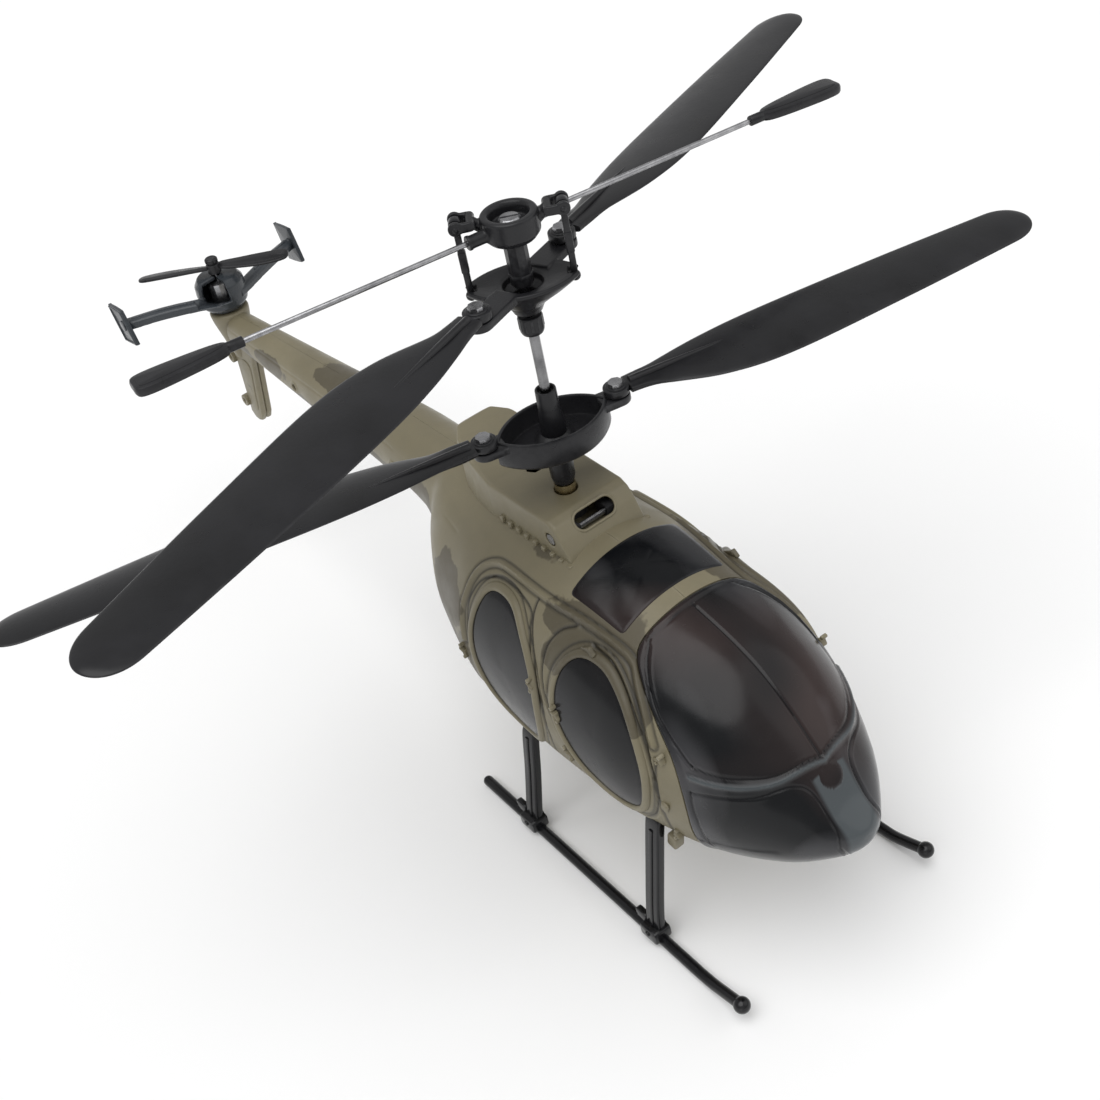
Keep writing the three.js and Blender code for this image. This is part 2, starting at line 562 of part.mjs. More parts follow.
const lowerSleeve = turned([[OUTER_SHAFT_R + 0.1, 2.74], [2.15, 2.74], [2.45, 4], [2.6, 12], [2.5, 16],
  [2.15, 20], [2.05, 24.31], [OUTER_SHAFT_R + 0.1, 24.31]], 14);
const lowerDish = cut(
  plan(lensOutline(12, 7.4), 11.4, 17.2),
  plan(lensOutline(11, 6.5), 13, 18).subtract(bar([0, 0, 12], [0, 0, 19], 4, 12)),
  bar([0, 0, 10], [0, 0, 20], OUTER_SHAFT_R + 0.1, 14),
);
const lowerHub = cut(join(lowerSleeve, lowerDish, ...bladeTongues(LOWER_BLADE_Z)),
  bar([0, 0, 0], [0, 0, 30], OUTER_SHAFT_R + 0.1, 14), ...pinHoles(LOWER_BLADE_Z));
piece('lower_hub', lowerHub, SATIN_BLACK, lowerRotor);

// The upper hub is a dished ring that see-saws on its pin; its two ends take the links.
const upperBowl = cut(
  join(
    turned([[0, 41.6], [2.7, 41.6], [3.6, 43.6], [6.2, 46.6], [6.6, 48], [0, 48]], 20),
    plan(lensOutline(EAR_R + 1.6, 6.4), 46.2, 48),
  ),
  turned([[0, 40], [2, 40], [2, 45], [3.7, 46.6], [3.7, 50], [0, 50]], 16),
);
const bladeArms = join(...bladeTongues(UPPER_BLADE_Z)).rotate([0, 0, UPPER_BLADE_TURN]);
const bladePinHoles = join(...pinHoles(UPPER_BLADE_Z)).rotate([0, 0, UPPER_BLADE_TURN]);
const linkSlot = (hand) => block(span(hand * (EAR_R - 1.3), hand * (EAR_R + 3)), [-1.3, 1.3], [44, 52]);
const upperHub = cut(
  join(upperBowl, bladeArms),
  bladePinHoles,
  bar([0, 0, 40], [0, 0, 52], 2, 12),
  bar([0, 0, 46.4], [0, 0, 52], 3.7, 16),
  bar([0, -4, HUB_PIVOT_Z], [0, 4, HUB_PIVOT_Z], 0.7, 8),
  linkSlot(1),
  linkSlot(-1),
);
piece('upper_hub', upperHub, SATIN_BLACK, upperRotor);
const COLLAR_BORE = INNER_SHAFT_R + 0.1;
const collar = turned([[COLLAR_BORE, 36.84], [2, 36.84], [2.3, 37.6], [2.3, 40.6], [COLLAR_BORE, 40.6]], 14);
piece('upper_collar', collar, SATIN_BLACK, upperRotor);
const rotorNeck = turned([[COLLAR_BORE, 47], [2.1, 47], [2.1, 57.4], [COLLAR_BORE, 57.4]], 8);
piece('rotor_neck', rotorNeck, SATIN_BLACK, upperRotor);
const capHead = turned([[0, 59.3], [2, 59.3], [2, 60], [1.7, 60.3], [0, 60.3]], 18);
piece('rotor_cap_screw', capHead.subtract(block([-2.4, 2.4], [-0.3, 0.3], [59.9, 61])), STEEL, upperRotor);

// ---- stabiliser bar, its carrier ring and the two links ----

const flybarAngle = rad(FLYBAR_TURN);
const flybarPoint = (r, z) => [r * Math.cos(flybarAngle), r * Math.sin(flybarAngle), z];
const ring = turned([[3.5, 56.2], [4.2, 56.2], [5.2, 57.4], [5.2, 60.9], [4.9, 61.28], [3.9, 61.28],
  [3.5, 60.6]], 16);
const EAR_FOOT = EAR_R - 2.6;
const ears = [1, -1].flatMap((hand) => [
  bar([hand * 4.4, 0, 58.8], [hand * EAR_FOOT, 0, EAR_Z], 1),
  bar([hand * EAR_FOOT, -2.3, EAR_Z], [hand * EAR_FOOT, 2.3, EAR_Z], 0.9),
  bar([hand * EAR_R, -2.4, EAR_Z], [hand * EAR_R, 2.4, EAR_Z], 0.45, 8),
  ...[-1, 1].flatMap((flank) => [
    bar([hand * EAR_R, flank * 1.5, EAR_Z], [hand * EAR_R, flank * 2.4, EAR_Z], 1.3),
    block(span(hand * EAR_FOOT, hand * EAR_R), span(flank * 1.5, flank * 2.4), [EAR_Z - 0.9, EAR_Z + 0.9]),
  ]),
]);
const alongFlybar = (from, to, radius) =>
  bar(flybarPoint(from, FLYBAR_PIVOT_Z), flybarPoint(to, FLYBAR_PIVOT_Z), radius);
const sockets = [1, -1].map((hand) => alongFlybar(hand * 4.6, hand * 8.4, 1.2));
const rodBore = (hand) => alongFlybar(hand * 5.2, hand * 12, 0.7);
const carrier = cut(
  join(ring, ...ears, ...sockets),
  rodBore(1),
  rodBore(-1),
  bar([0, 0, 50], [0, 0, 64], 3.5, 16),
  bar([0, -6, FLYBAR_PIVOT_Z], [0, 6, FLYBAR_PIVOT_Z], 0.75, 8),
);
piece('flybar_carrier', carrier, SATIN_BLACK, upperRotor);

const PADDLE = [[54, -1.4], [62, -2.6], [69, -2.6], [FLYBAR_R, 0], [69, 2.6], [62, 2.6], [54, 1.4]];
for (const [letter, hand] of [['a', 1], ['b', -1]]) {
  const rod = bar([5.6, 0, 0], [FLYBAR_R - 1, 0, 0], 0.5, 8);
  const rodMesh = piece(`flybar_rod_${letter}`, rod, STEEL, upperRotor);
  const paddle = plan(smoothOutline(PADDLE), -0.9, 0.9);
  const weight = cut(paddle, bar([50, 0, 0], [FLYBAR_R - 0.8, 0, 0], 0.65));
  const weightMesh = piece(`flybar_weight_${letter}`, weight, SATIN_BLACK, upperRotor);
  for (const mesh of [rodMesh, weightMesh]) {
    mesh.position.z = FLYBAR_PIVOT_Z;
    mesh.rotation.z = flybarAngle + (hand < 0 ? Math.PI : 0);
  }
  const link = join(
    bar([0, -0.9, EAR_Z], [0, 0.9, EAR_Z], 1.2),
    block([-0.6, 0.6], [-0.7, 0.7], [46.6, EAR_Z]),
    ball([0, 0, 46.6], 1),
  ).subtract(bar([0, -2, EAR_Z], [0, 2, EAR_Z], 0.62));
  piece(`link_${letter}`, link, SATIN_BLACK, upperRotor).position.x = hand * EAR_R;
}

// ---- blades: each turns on a screw, with its chord set at a fixed pitch ----

const BLADE_TIP = ROTOR_R - BLADE_PIN_R;
const BLADE_OUTLINE = [[0, -2.4], [8, -3.4], [20, -8], [34, -9.8], [60, -8.6], [BLADE_TIP - 5, -6.4],
  [BLADE_TIP, -1], [BLADE_TIP - 2, 4.4], [60, 5.6], [34, 5.8], [20, 5], [8, 3.2], [0, 2.4]];
function blade(pitch) {
  const sheet = plan(smoothOutline(BLADE_OUTLINE, 36), 0, 0.9)
    .subtract(block([-5, 6], [-9, 9], [-2, 3])).rotate([pitch, -1, 0]);
  const root = join(bar([0, 0, 0], [0, 0, 1.5], 2.6, 12), block([0, 9], [-2.2, 2.2], [0, 1.5]));
  return cut(join(root, sheet), bar([0, 0, -1], [0, 0, 3], 0.95, 8));
}

function bladePair(level, z, parent, turn, pitch) {
  for (const [letter, hand] of [['a', 1], ['b', -1]]) {
    const place = new THREE.Group();
    place.rotation.z = turn + (hand < 0 ? Math.PI : 0);
    parent.add(place);
    const mesh = piece(`${level}_blade_${letter}`, blade(pitch), SATIN_BLACK, place);
    mesh.position.set(BLADE_PIN_R, 0, z);
    const screw = join(bar([0, 0, -1.8], [0, 0, 1.8], 0.7, 8), bar([0, 0, 1.75], [0, 0, 2.5], 1.5, 8));
    piece(`${level}_blade_screw_${letter}`, screw, STEEL, place).position.set(BLADE_PIN_R, 0, z);
  }
}
bladePair('lower', LOWER_BLADE_Z, lowerRotor, 0, 7);
bladePair('upper', UPPER_BLADE_Z, upperRotor, rad(UPPER_BLADE_TURN), -7);

// ---- landing gear ----

// A strut's cross bar runs inside the belly; its two legs reach down to clamps on the skids.
function strut(legPoints) {
  const leg = (hand) => {
    const route = legPoints.map(([x, z]) => new THREE.Vector2(hand * x, z));
    const parts = [];
    for (let i = 1; i < route.length; i += 1) {
      const [a, b] = [route[i - 1], route[i]];
      const along = b.clone().sub(a);
      const geometry = new THREE.BoxGeometry(2, 4, along.length() + 0.8);
      geometry.rotateY(Math.atan2(along.x, along.y));
      geometry.translate((a.x + b.x) / 2, 0, (a.y + b.y) / 2);
      parts.push(solid(geometry));
    }
    return parts;
  };
  const [topX, crossZ] = legPoints[0];
  const cross = block([-topX, topX], [-2, 2], [crossZ - 1, crossZ + 1]);
  const saddles = [-1, 1].map((hand) => {
    const x = hand * SKID_X;
    const clamp = block([x - 2.1, x + 2.1], [-2.6, 2.6], [SKID_Z, SKID_Z + 3.2]);
    return clamp.add(block([x - 0.7, x + 0.7], [2, 5.4], [SKID_Z + 1.5, SKID_Z + 4.6]));
  });
  const tubes = [-SKID_X, SKID_X].map((x) => bar([x, -9, SKID_Z], [x, 9, SKID_Z], SKID_R + 0.25, SKID_SIDES));
  const below = block([-40, 40], [-9, 9], [SKID_Z - 8, SKID_Z]);
  return cut(join(cross, ...leg(1), ...leg(-1), ...saddles), ...tubes, below);
}
const FRONT_LEG = [[19.9, -47], [20.9, -48.6], [23.1, -61.3], [24.7, -71.1], [25.6, -78.4]];
const REAR_LEG = [[19.8, -52.1], [21.2, -54], [22.9, -64.1], [24.4, -72], [25.6, -78.4]];
piece('front_landing_strut', strut(FRONT_LEG), GLOSS_BLACK).position.y = FRONT_STRUT_Y;
piece('rear_landing_strut', strut(REAR_LEG), GLOSS_BLACK).position.y = REAR_STRUT_Y;

// A straight tube that turns up at the nose and ends in a ball.
const SKID_BEND_Y = -55;
const SKID_TOE = [0.3, -67.2, 2.95];
for (const [hand, sign] of [['right', -1], ['left', 1]]) {
  const bend = [[0, SKID_BEND_Y, 0], [0, -58.6, 0.35], [0.1, -62.4, 1.4], SKID_TOE];
  const path = new THREE.CurvePath();
  path.add(new THREE.LineCurve3(new THREE.Vector3(0, 18.2, 0), new THREE.Vector3(0, SKID_BEND_Y, 0)));
  path.add(new THREE.CatmullRomCurve3(bend.map(([x, y, z]) => new THREE.Vector3(sign * x, y, z))));
  const section = polygon(SKID_R, SKID_SIDES, Math.PI / SKID_SIDES);
  const form = new THREE.ExtrudeGeometry(section, { steps: 16, bevelEnabled: false, extrudePath: path });
  const tube = solid(form);
  const [toeX, toeY, toeZ] = SKID_TOE;
  const skid = join(tube, ball([sign * toeX, toeY, toeZ], 1.75), ball([0, 18.2, 0], SKID_FLAT - 0.01));
  piece(`skid_${hand}`, skid, GLOSS_BLACK).position.set(sign * SKID_X, 0, SKID_Z);
}

// ---- tail: motor cup with its swept arms and end plates, motor and rotor ----

const tail = new THREE.Group();
tail.position.set(0, TAIL_Y, 0);
airframe.add(tail);

const cup = turned([[0, -14], [5, -14], [6.4, -12.4], [6.8, -9], [6.6, -6.6], [5.4, -4.8], [1.3, -4.4],
  [1.3, -5.5], [4.6, -5.8], [5.5, -7], [5.7, -9], [5.2, -11.6], [4, -12.8], [0, -12.8]], 20);
const ARM = [[-6, -2.6, -9.6], [-16, 2.3, -9.2], [-25, 7.1, -9.8]];
const armSection = outline([[-1.1, -1.9], [0.5, -1.9], [1.2, -1], [1.2, 1], [0.5, 1.9], [-1.1, 1.9]]);
const arms = [-1, 1].map((sign) => swept(armSection, ARM.map(([x, y, z]) => [-sign * x, y, z]), 4)
  .intersect(block([-25.1, 25.1], [-20, 20], [-30, 10])));
const cupMouth = block([-9, -0.5], [-9, -0.8], [-10.5, -2]);
const motorRoom = bar([0, 0, -12.8], [0, 0, -5.8], 5.2, 16);
const trimmedArms = arms.map((arm) => arm.subtract(motorRoom));
const stabiliser = cut(join(cup, ...trimmedArms), cupMouth, bar([0, -0.6, -16], [0, -0.6, -12], 1.2));
piece('tail_stabiliser', stabiliser, TAIL_GREY, tail);

const PLATE = [[13.6, -6.6], [12.9, -5.6], [6.2, -4.9], [5.2, -5.6], [2.4, -13.2], [2.9, -14.4], [9.4, -15.6],
  [10.6, -15]];
for (const [hand, sign] of [['right', -1], ['left', 1]]) {
  const plate = side(outline(PLATE), -0.55, 0.55);
  piece(`end_plate_${hand}`, plate, TAIL_GREY, tail).position.x = sign * 25.95;
}
const tailMotor = join(bar([0, 0, -12.4], [0, 0, -6.4], 3.1, 14), bar([0, 0, -7], [0, 0, -3.6], 0.4, 8));
piece('tail_motor', tailMotor, STEEL, tail);

const TAIL_BLADE = [[1.6, -1.2], [7, -2.6], [14, -3.2], [TAIL_ROTOR_R - 1, -2.4], [TAIL_ROTOR_R, 0],
  [TAIL_ROTOR_R - 1.4, 1.6], [14, 1.8], [7, 1.6], [1.6, 1.2]];
const tailBlade = plan(smoothOutline(TAIL_BLADE, 22), -2.7, -2).rotate([10, 0, 0]);
const tailHub = turned([[0.55, -3.9], [1.8, -3.9], [1.8, -1.4], [1.3, -1.2], [1.75, -0.8], [1.75, 0],
  [1.4, 0.35], [0, 0.35], [0, -1.2], [0.55, -1.2]], 12);
const tailBlades = tailBlade.add(tailBlade.rotate([0, 0, 180]));
const tailRotor = join(tailHub, tailBlades).subtract(bar([0, 0, -5], [0, 0, -1.2], 0.55, 12));
piece('tail_rotor', tailRotor, SATIN_BLACK, tail).rotation.z = rad(145);

// Twin lead to the tail motor, laid through the boom.
piece('tail_motor_lead', swept(polygon(0.6, 8), LEAD_ROUTE, 18), LEAD_RED);

export default helicopter;
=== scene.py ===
import json
import math

import bmesh
import bpy
import numpy as np
from mathutils import Matrix, Vector


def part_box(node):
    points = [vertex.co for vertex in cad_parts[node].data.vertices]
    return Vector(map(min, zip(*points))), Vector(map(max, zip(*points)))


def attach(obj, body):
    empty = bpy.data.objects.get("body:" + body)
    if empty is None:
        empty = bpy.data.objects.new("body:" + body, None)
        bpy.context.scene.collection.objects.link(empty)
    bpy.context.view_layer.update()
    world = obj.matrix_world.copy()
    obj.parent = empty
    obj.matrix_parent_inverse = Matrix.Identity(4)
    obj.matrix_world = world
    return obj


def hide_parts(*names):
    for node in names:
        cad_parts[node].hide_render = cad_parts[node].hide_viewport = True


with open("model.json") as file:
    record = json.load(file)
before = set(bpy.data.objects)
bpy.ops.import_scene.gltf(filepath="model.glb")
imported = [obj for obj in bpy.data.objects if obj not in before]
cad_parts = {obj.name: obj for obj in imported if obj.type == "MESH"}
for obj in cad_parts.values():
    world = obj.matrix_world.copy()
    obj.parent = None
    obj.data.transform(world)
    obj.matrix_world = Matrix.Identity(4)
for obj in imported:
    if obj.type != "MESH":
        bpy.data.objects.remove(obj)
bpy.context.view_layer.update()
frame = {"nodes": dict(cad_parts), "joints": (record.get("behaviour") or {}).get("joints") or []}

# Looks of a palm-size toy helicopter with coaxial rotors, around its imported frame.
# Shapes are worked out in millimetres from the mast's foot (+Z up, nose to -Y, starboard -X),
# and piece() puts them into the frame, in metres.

MM = 0.001
JOINTS = {j["name"]: j for j in frame["joints"]}
MAST = np.array(JOINTS["lower_rotor_spin"]["pos_m"])


def azimuth_of(joint):
    """Degrees about the mast at which a joint sits."""
    x, y, _ = np.array(JOINTS[joint]["pos_m"]) - MAST
    return math.degrees(math.atan2(y, x))


def height_of(joint):
    return (JOINTS[joint]["pos_m"][2] - MAST[2]) / MM


LOWER_AZIMUTH = azimuth_of("lower_blade_a_fold")
UPPER_AZIMUTH = azimuth_of("upper_blade_a_fold")
LINK_AZIMUTH = azimuth_of("link_a_swing")
TAIL_Y = (JOINTS["tail_rotor_spin"]["pos_m"][1] - MAST[1]) / MM
LOWER_BLADE_Z = height_of("lower_blade_a_fold")
UPPER_BLADE_Z = height_of("upper_blade_a_fold")
FLYBAR_Z = height_of("flybar_teeter")
EAR_Z = height_of("link_a_swing")
BLADE_PIN_R = 14.0
EAR_R = 9.4
FLYBAR_TURN = 25.0
ROTOR_R = 109.0

# ---- the hull's surface: the same lines as the CAD hull ----

NOSE_Y = -77.5
BOOM_END_Y = 148.0
# station y, half width, top z, belly z, z of the widest point
HULL_LINES = np.array([
    [NOSE_Y, 0.3, -39.8, -41.2, -40.5],
    [-73.5, 7.6, -35.6, -46.4, -40.5],
    [-66, 13.9, -25.9, -51.6, -39],
    [-50, 21.3, -13.1, -56.8, -38],
    [-32, 25.2, -8, -58.9, -35.5],
    [-12, 25.7, -4.8, -60.2, -35.5],
    [8, 25, -5.2, -59.4, -35],
    [28, 20, -7.6, -51, -31.8],
    [35, 15.6, -8, -43.6, -27.4],
    [40, 10.9, -8.1, -33.6, -21.8],
    [47, 9.2, -8.3, -28.2, -18.6],
    [60, 8.6, -8.6, -25.8, -17.2],
    [100, 6.6, -11.7, -24.8, -18.2],
    [BOOM_END_Y, 4.4, -15.2, -24, -19.6],
])
ROUND_TOP = 2.1
ROUND_BELLY = 2.25


def hull_line(column):
    """Monotone cubic over the square root of the distance from the nose."""
    s = np.sqrt(HULL_LINES[:, 0] - NOSE_Y)
    v = HULL_LINES[:, column]
    slope = np.diff(v) / np.diff(s)
    a, b = slope[:-1], slope[1:]
    inner = np.where(a * b > 0, 2 * a * b / np.where(a * b > 0, a + b, 1), 0)
    tangent = np.concatenate([slope[:1], inner, slope[-1:]])

    def line(y):
        at = np.sqrt(np.maximum(np.asarray(y, float) - NOSE_Y, 0))
        i = np.clip(np.searchsorted(s, at, "right") - 1, 0, len(s) - 2)
        h = s[i + 1] - s[i]
        t = (at - s[i]) / h
        return (v[i] * (1 + 2 * t) * (1 - t) ** 2 + h * tangent[i] * t * (1 - t) ** 2
                + v[i + 1] * t * t * (3 - 2 * t) + h * tangent[i + 1] * t * t * (t - 1))
    return line


half_width, top_line, belly_line, waist_line = (hull_line(c) for c in (1, 2, 3, 4))


def hull_point(y, angle, inset=0.0):
    """Points of the hull at station y, at an angle in degrees from port (90 is the top)."""
    y, angle = np.broadcast_arrays(np.asarray(y, float), np.radians(angle))
    c, s = np.cos(angle), np.sin(angle)
    power = np.where(s > 0, 2 / ROUND_TOP, 2 / ROUND_BELLY)
    waist = waist_line(y)
    w = np.maximum(half_width(y) - inset, 0.05)
    reach = np.where(s > 0, top_line(y) - waist, waist - belly_line(y))
    reach = np.maximum(reach - inset, 0.05)
    x = w * np.sign(c) * np.abs(c) ** power
    z = waist + reach * np.sign(s) * np.abs(s) ** power
    return np.stack([x, y, z], -1)


def flank(y, z):
    """The starboard surface's distance from the middle at (y, z)."""
    waist = waist_line(y)
    above = z > waist
    reach = np.where(above, top_line(y) - waist, waist - belly_line(y))
    power = np.where(above, ROUND_TOP, ROUND_BELLY)
    share = np.clip(np.abs(z - waist) / reach, 0, 0.999)
    return half_width(y) * (1 - share ** power) ** (1 / power)


def on_flank(points, out=0.0):
    """(y, z) points laid on the starboard side, out from it along the surface's normal."""
    y, z = np.asarray(points, float).T
    e = 0.05
    slope_y = (flank(y + e, z) - flank(y - e, z)) / (2 * e)
    slope_z = (flank(y, z + e) - flank(y, z - e)) / (2 * e)
    normal = np.stack([-np.ones_like(y), -slope_y, -slope_z], -1)
    normal /= np.linalg.norm(normal, axis=1, keepdims=True)
    return np.stack([-flank(y, z), y, z], -1) + normal * np.reshape(out, (-1, 1))


def on_roof(points, out=0.0):
    """(x, y) points laid on top of the hull."""
    x, y = np.asarray(points, float).T
    waist = waist_line(y)
    share = np.clip(np.abs(x) / half_width(y), 0, 0.999)
    z = waist + (top_line(y) - waist) * (1 - share ** ROUND_TOP) ** (1 / ROUND_TOP)
    return np.stack([x, y, z + out], -1)


# ---- curves ----

def smooth(points, count, closed=False):
    """A Catmull-Rom curve through the points, with about equal steps."""
    p = np.asarray(points, float)
    if closed:
        p = np.vstack([p[-1:], p, p[:2]])
    else:
        p = np.vstack([2 * p[0] - p[1], p, 2 * p[-1] - p[-2]])
    t = np.linspace(0, 1, 13)[:-1, None]
    parts = []
    for a, b, c, d in zip(p[:-3], p[1:-2], p[2:-1], p[3:]):
        parts.append(0.5 * (2 * b + (c - a) * t + (2 * a - 5 * b + 4 * c - d) * t ** 2
                            + (3 * b - a - 3 * c + d) * t ** 3))
    fine = np.vstack(parts + [p[-2:-1]])
    length = np.concatenate([[0], np.cumsum(np.linalg.norm(np.diff(fine, axis=0), axis=1))])
    at = np.linspace(0, length[-1], count, endpoint=not closed)
    return np.stack([np.interp(at, length, column) for column in fine.T], -1)


def grown(outline, amount):
    """A closed 2-D outline let out along its normals."""
    along = np.roll(outline, -1, 0) - np.roll(outline, 1, 0)
    normal = np.stack([along[:, 1], -along[:, 0]], -1)
    normal /= np.linalg.norm(normal, axis=1, keepdims=True)
    x, y = outline.T
    area = np.sum(x * np.roll(y, -1) - np.roll(x, -1) * y)
    return outline + normal * amount * (1 if area > 0 else -1)


def distance(points, path):
    """Each point's distance from a 3-D polyline."""
    best = np.full(len(points), 1e9)
    for a, b in zip(path[:-1], path[1:]):
        ab = b - a
        t = np.clip((points - a) @ ab / max(ab @ ab, 1e-12), 0, 1)
        best = np.minimum(best, np.linalg.norm(points - a - t[:, None] * ab, axis=1))
    return best


def turned_about_z(points, degrees):
    a = math.radians(degrees)
    turn = np.array([[math.cos(a), -math.sin(a), 0], [math.sin(a), math.cos(a), 0], [0, 0, 1]])
    return np.asarray(points, float) @ turn.T


def tilt(degrees):
    """The matrix of a turn about x."""
    a = math.radians(degrees)
    return [[1, 0, 0], [0, math.cos(a), -math.sin(a)], [0, math.sin(a), math.cos(a)]]


# ---- meshes ----

class Form:
    """Points in millimetres and faces, with a value per point for painted shade (dark lines put into grooves,
    holes and joins, where shade falls) and camo.
    """

    def __init__(self, points, faces, recess_shade=None, camo=None):
        self.points = np.asarray(points, float).reshape(-1, 3)
        self.faces = [list(map(int, f)) for f in faces]
        count = len(self.points)
        self.recess_shade = np.zeros(count) if recess_shade is None else np.ravel(recess_shade)
        self.camo = np.zeros(count) if camo is None else np.ravel(camo)

    def __add__(self, other):
        start = len(self.points)
        return Form(
            np.vstack([self.points, other.points]),
            self.faces + [[i + start for i in f] for f in other.faces],
            np.concatenate([self.recess_shade, other.recess_shade]),
            np.concatenate([self.camo, other.camo]),
        )

    def reshaped(self, points):
        return Form(points, self.faces, self.recess_shade, self.camo)

    def moved(self, x=0.0, y=0.0, z=0.0):
        return self.reshaped(self.points + [x, y, z])

    def turned(self, degrees):
        return self.reshaped(turned_about_z(self.points, degrees))

    def placed(self, matrix, at=(0, 0, 0)):
        return self.reshaped(self.points @ np.array(matrix, float).T + at)

    def mirrored(self):
        return Form(self.points * [-1, 1, 1], [f[::-1] for f in self.faces], self.recess_shade, self.camo)


def total(forms):
    first, *rest = forms
    for one in rest:
        first = first + one
    return first


def grid_faces(rows, columns, wrap=False):
    last = columns if wrap else columns - 1
    i, j = np.meshgrid(np.arange(rows - 1), np.arange(last), indexing="ij")
    a = i * columns + j
    b = i * columns + (j + 1) % columns
    return np.stack([a, b, b + columns, a + columns], -1).reshape(-1, 4).tolist()


def loft(rings, caps=(True, True)):
    """A skin over closed rings with as many points each, its ends closed by fans."""
    rings = np.asarray(rings, float)
    rows, columns = rings.shape[:2]
    points = rings.reshape(-1, 3)
    faces = grid_faces(rows, columns, wrap=True)
    for cap, row, order in ((caps[0], 0, 1), (caps[1], rows - 1, -1)):
        if cap:
            middle = len(points)
            points = np.vstack([points, rings[row].mean(0)])
            start = row * columns
            faces += [[start + (j + 1) % columns, start + j, middle][::order] for j in range(columns)]
    return Form(points, faces)


def lathe(profile, sides=64):
    """A turned form about Z from a closed or axis-to-axis [radius, z] profile."""
    profile = np.asarray(profile, float)
    angles = np.linspace(0, 2 * math.pi, sides, endpoint=False)
    ring = np.stack([np.cos(angles), np.sin(angles)], -1)
    open_ends = profile[0][0] < 1e-6
    if open_ends:
        profile = profile[1:-1] if profile[-1][0] < 1e-6 else profile[1:]
    if np.allclose(profile[0], profile[-1]):
        profile = profile[:-1]
    rings = [np.column_stack([ring * r, np.full(sides, z)]) for r, z in profile]
    if open_ends:
        return loft(rings)
    return loft(rings + rings[:1], caps=(False, False))


def rounded(profile, radius=0.25, steps=3):
    """A [radius, z] profile with every corner between its ends rounded."""
    points = [profile[0]]
    for before, here, after in zip(profile[:-2], profile[1:-1], profile[2:]):
        before, here, after = (np.array(p, float) for p in (before, here, after))
        lengths = [np.linalg.norm(before - here), np.linalg.norm(after - here)]
        cut = min(radius, *(0.45 * one for one in lengths))
        a = here + (before - here) / max(lengths[0], 1e-9) * cut
        b = here + (after - here) / max(lengths[1], 1e-9) * cut
        for t in np.linspace(0, 1, steps + 1):
            points.append(((1 - t) ** 2 * a + 2 * t * (1 - t) * here + t * t * b).tolist())
    return points + [profile[-1]]


def sweep(path, section, up=(0, 0, 1), scale=None, caps=(True, True)):
    """A closed 2-D section carried along a path; its first axis is sideways, its second is up."""
    path = np.asarray(path, float)
    section = np.asarray(section, float)
    along = np.gradient(path, axis=0)
    along /= np.linalg.norm(along, axis=1, keepdims=True)
    across = np.cross(along, up)
    across /= np.linalg.norm(across, axis=1, keepdims=True)
    upward = np.cross(across, along)
    size = np.ones(len(path)) if scale is None else np.asarray(scale, float)
    rings = [p + k * (section[:, :1] * a + section[:, 1:] * u)
             for p, a, u, k in zip(path, across, upward, size)]
    return loft(rings, caps)


def circle(radius, sides=24):
    a = np.linspace(0, 2 * math.pi, sides, endpoint=False)
    return np.stack([radius * np.cos(a), radius * np.sin(a)], -1)


def rounded_box(half_x, half_y, corner, steps=4):
    """A rectangle's outline with round corners."""
    points = []
    for sx, sy, start in ((1, 1, 0), (-1, 1, 90), (-1, -1, 180), (1, -1, 270)):
        for a in np.radians(start + np.linspace(0, 90, steps + 1)):
            points.append([sx * (half_x - corner) + corner * math.cos(a),
                           sy * (half_y - corner) + corner * math.sin(a)])
    return np.array(points)


def plate(outline, low, high, edge=0.25, to_space=None):
    """A 2-D outline raised from low to high with rounded rims; to_space maps it to x, y, z."""
    outline = np.asarray(outline, float)
    rings = []
    for height, drawn_in in ((low, edge), (low + 0.3 * edge, 0.3 * edge), (low + edge, 0),
                             (high - edge, 0), (high - 0.3 * edge, 0.3 * edge), (high, edge)):
        ring = grown(outline, -drawn_in)
        rings.append(np.column_stack([ring, np.full(len(ring), height)]))
    form = loft(rings)
    return form if to_space is None else form.placed(to_space)


SIDE_VIEW = [[0, 0, 1], [1, 0, 0], [0, 1, 0]]  # (y, z, x) to x, y, z


def ball(at, radius, sides=24):
    angles = np.linspace(-90, 90, sides // 2 + 1)
    profile = [[radius * math.cos(math.radians(a)), radius * math.sin(math.radians(a))] for a in angles]
    profile[0][0] = profile[-1][0] = 0.0
    return lathe(profile, sides).moved(*at)


def rod(start, end, radius, sides=20, edge=0.15):
    """A round rod between two points, with eased rims."""
    start, end = np.array(start, float), np.array(end, float)
    along = (end - start) / np.linalg.norm(end - start)
    up = (0, 0, 1) if abs(along[2]) < 0.9 else (0, 1, 0)
    path = [start, start + along * 0.3 * edge, start + along * edge,
            end - along * edge, end - along * 0.3 * edge, end]
    scale = [1 - edge / radius, 1 - 0.3 * edge / radius, 1, 1, 1 - 0.3 * edge / radius, 1 - edge / radius]
    return sweep(path, circle(radius, sides), up, scale)


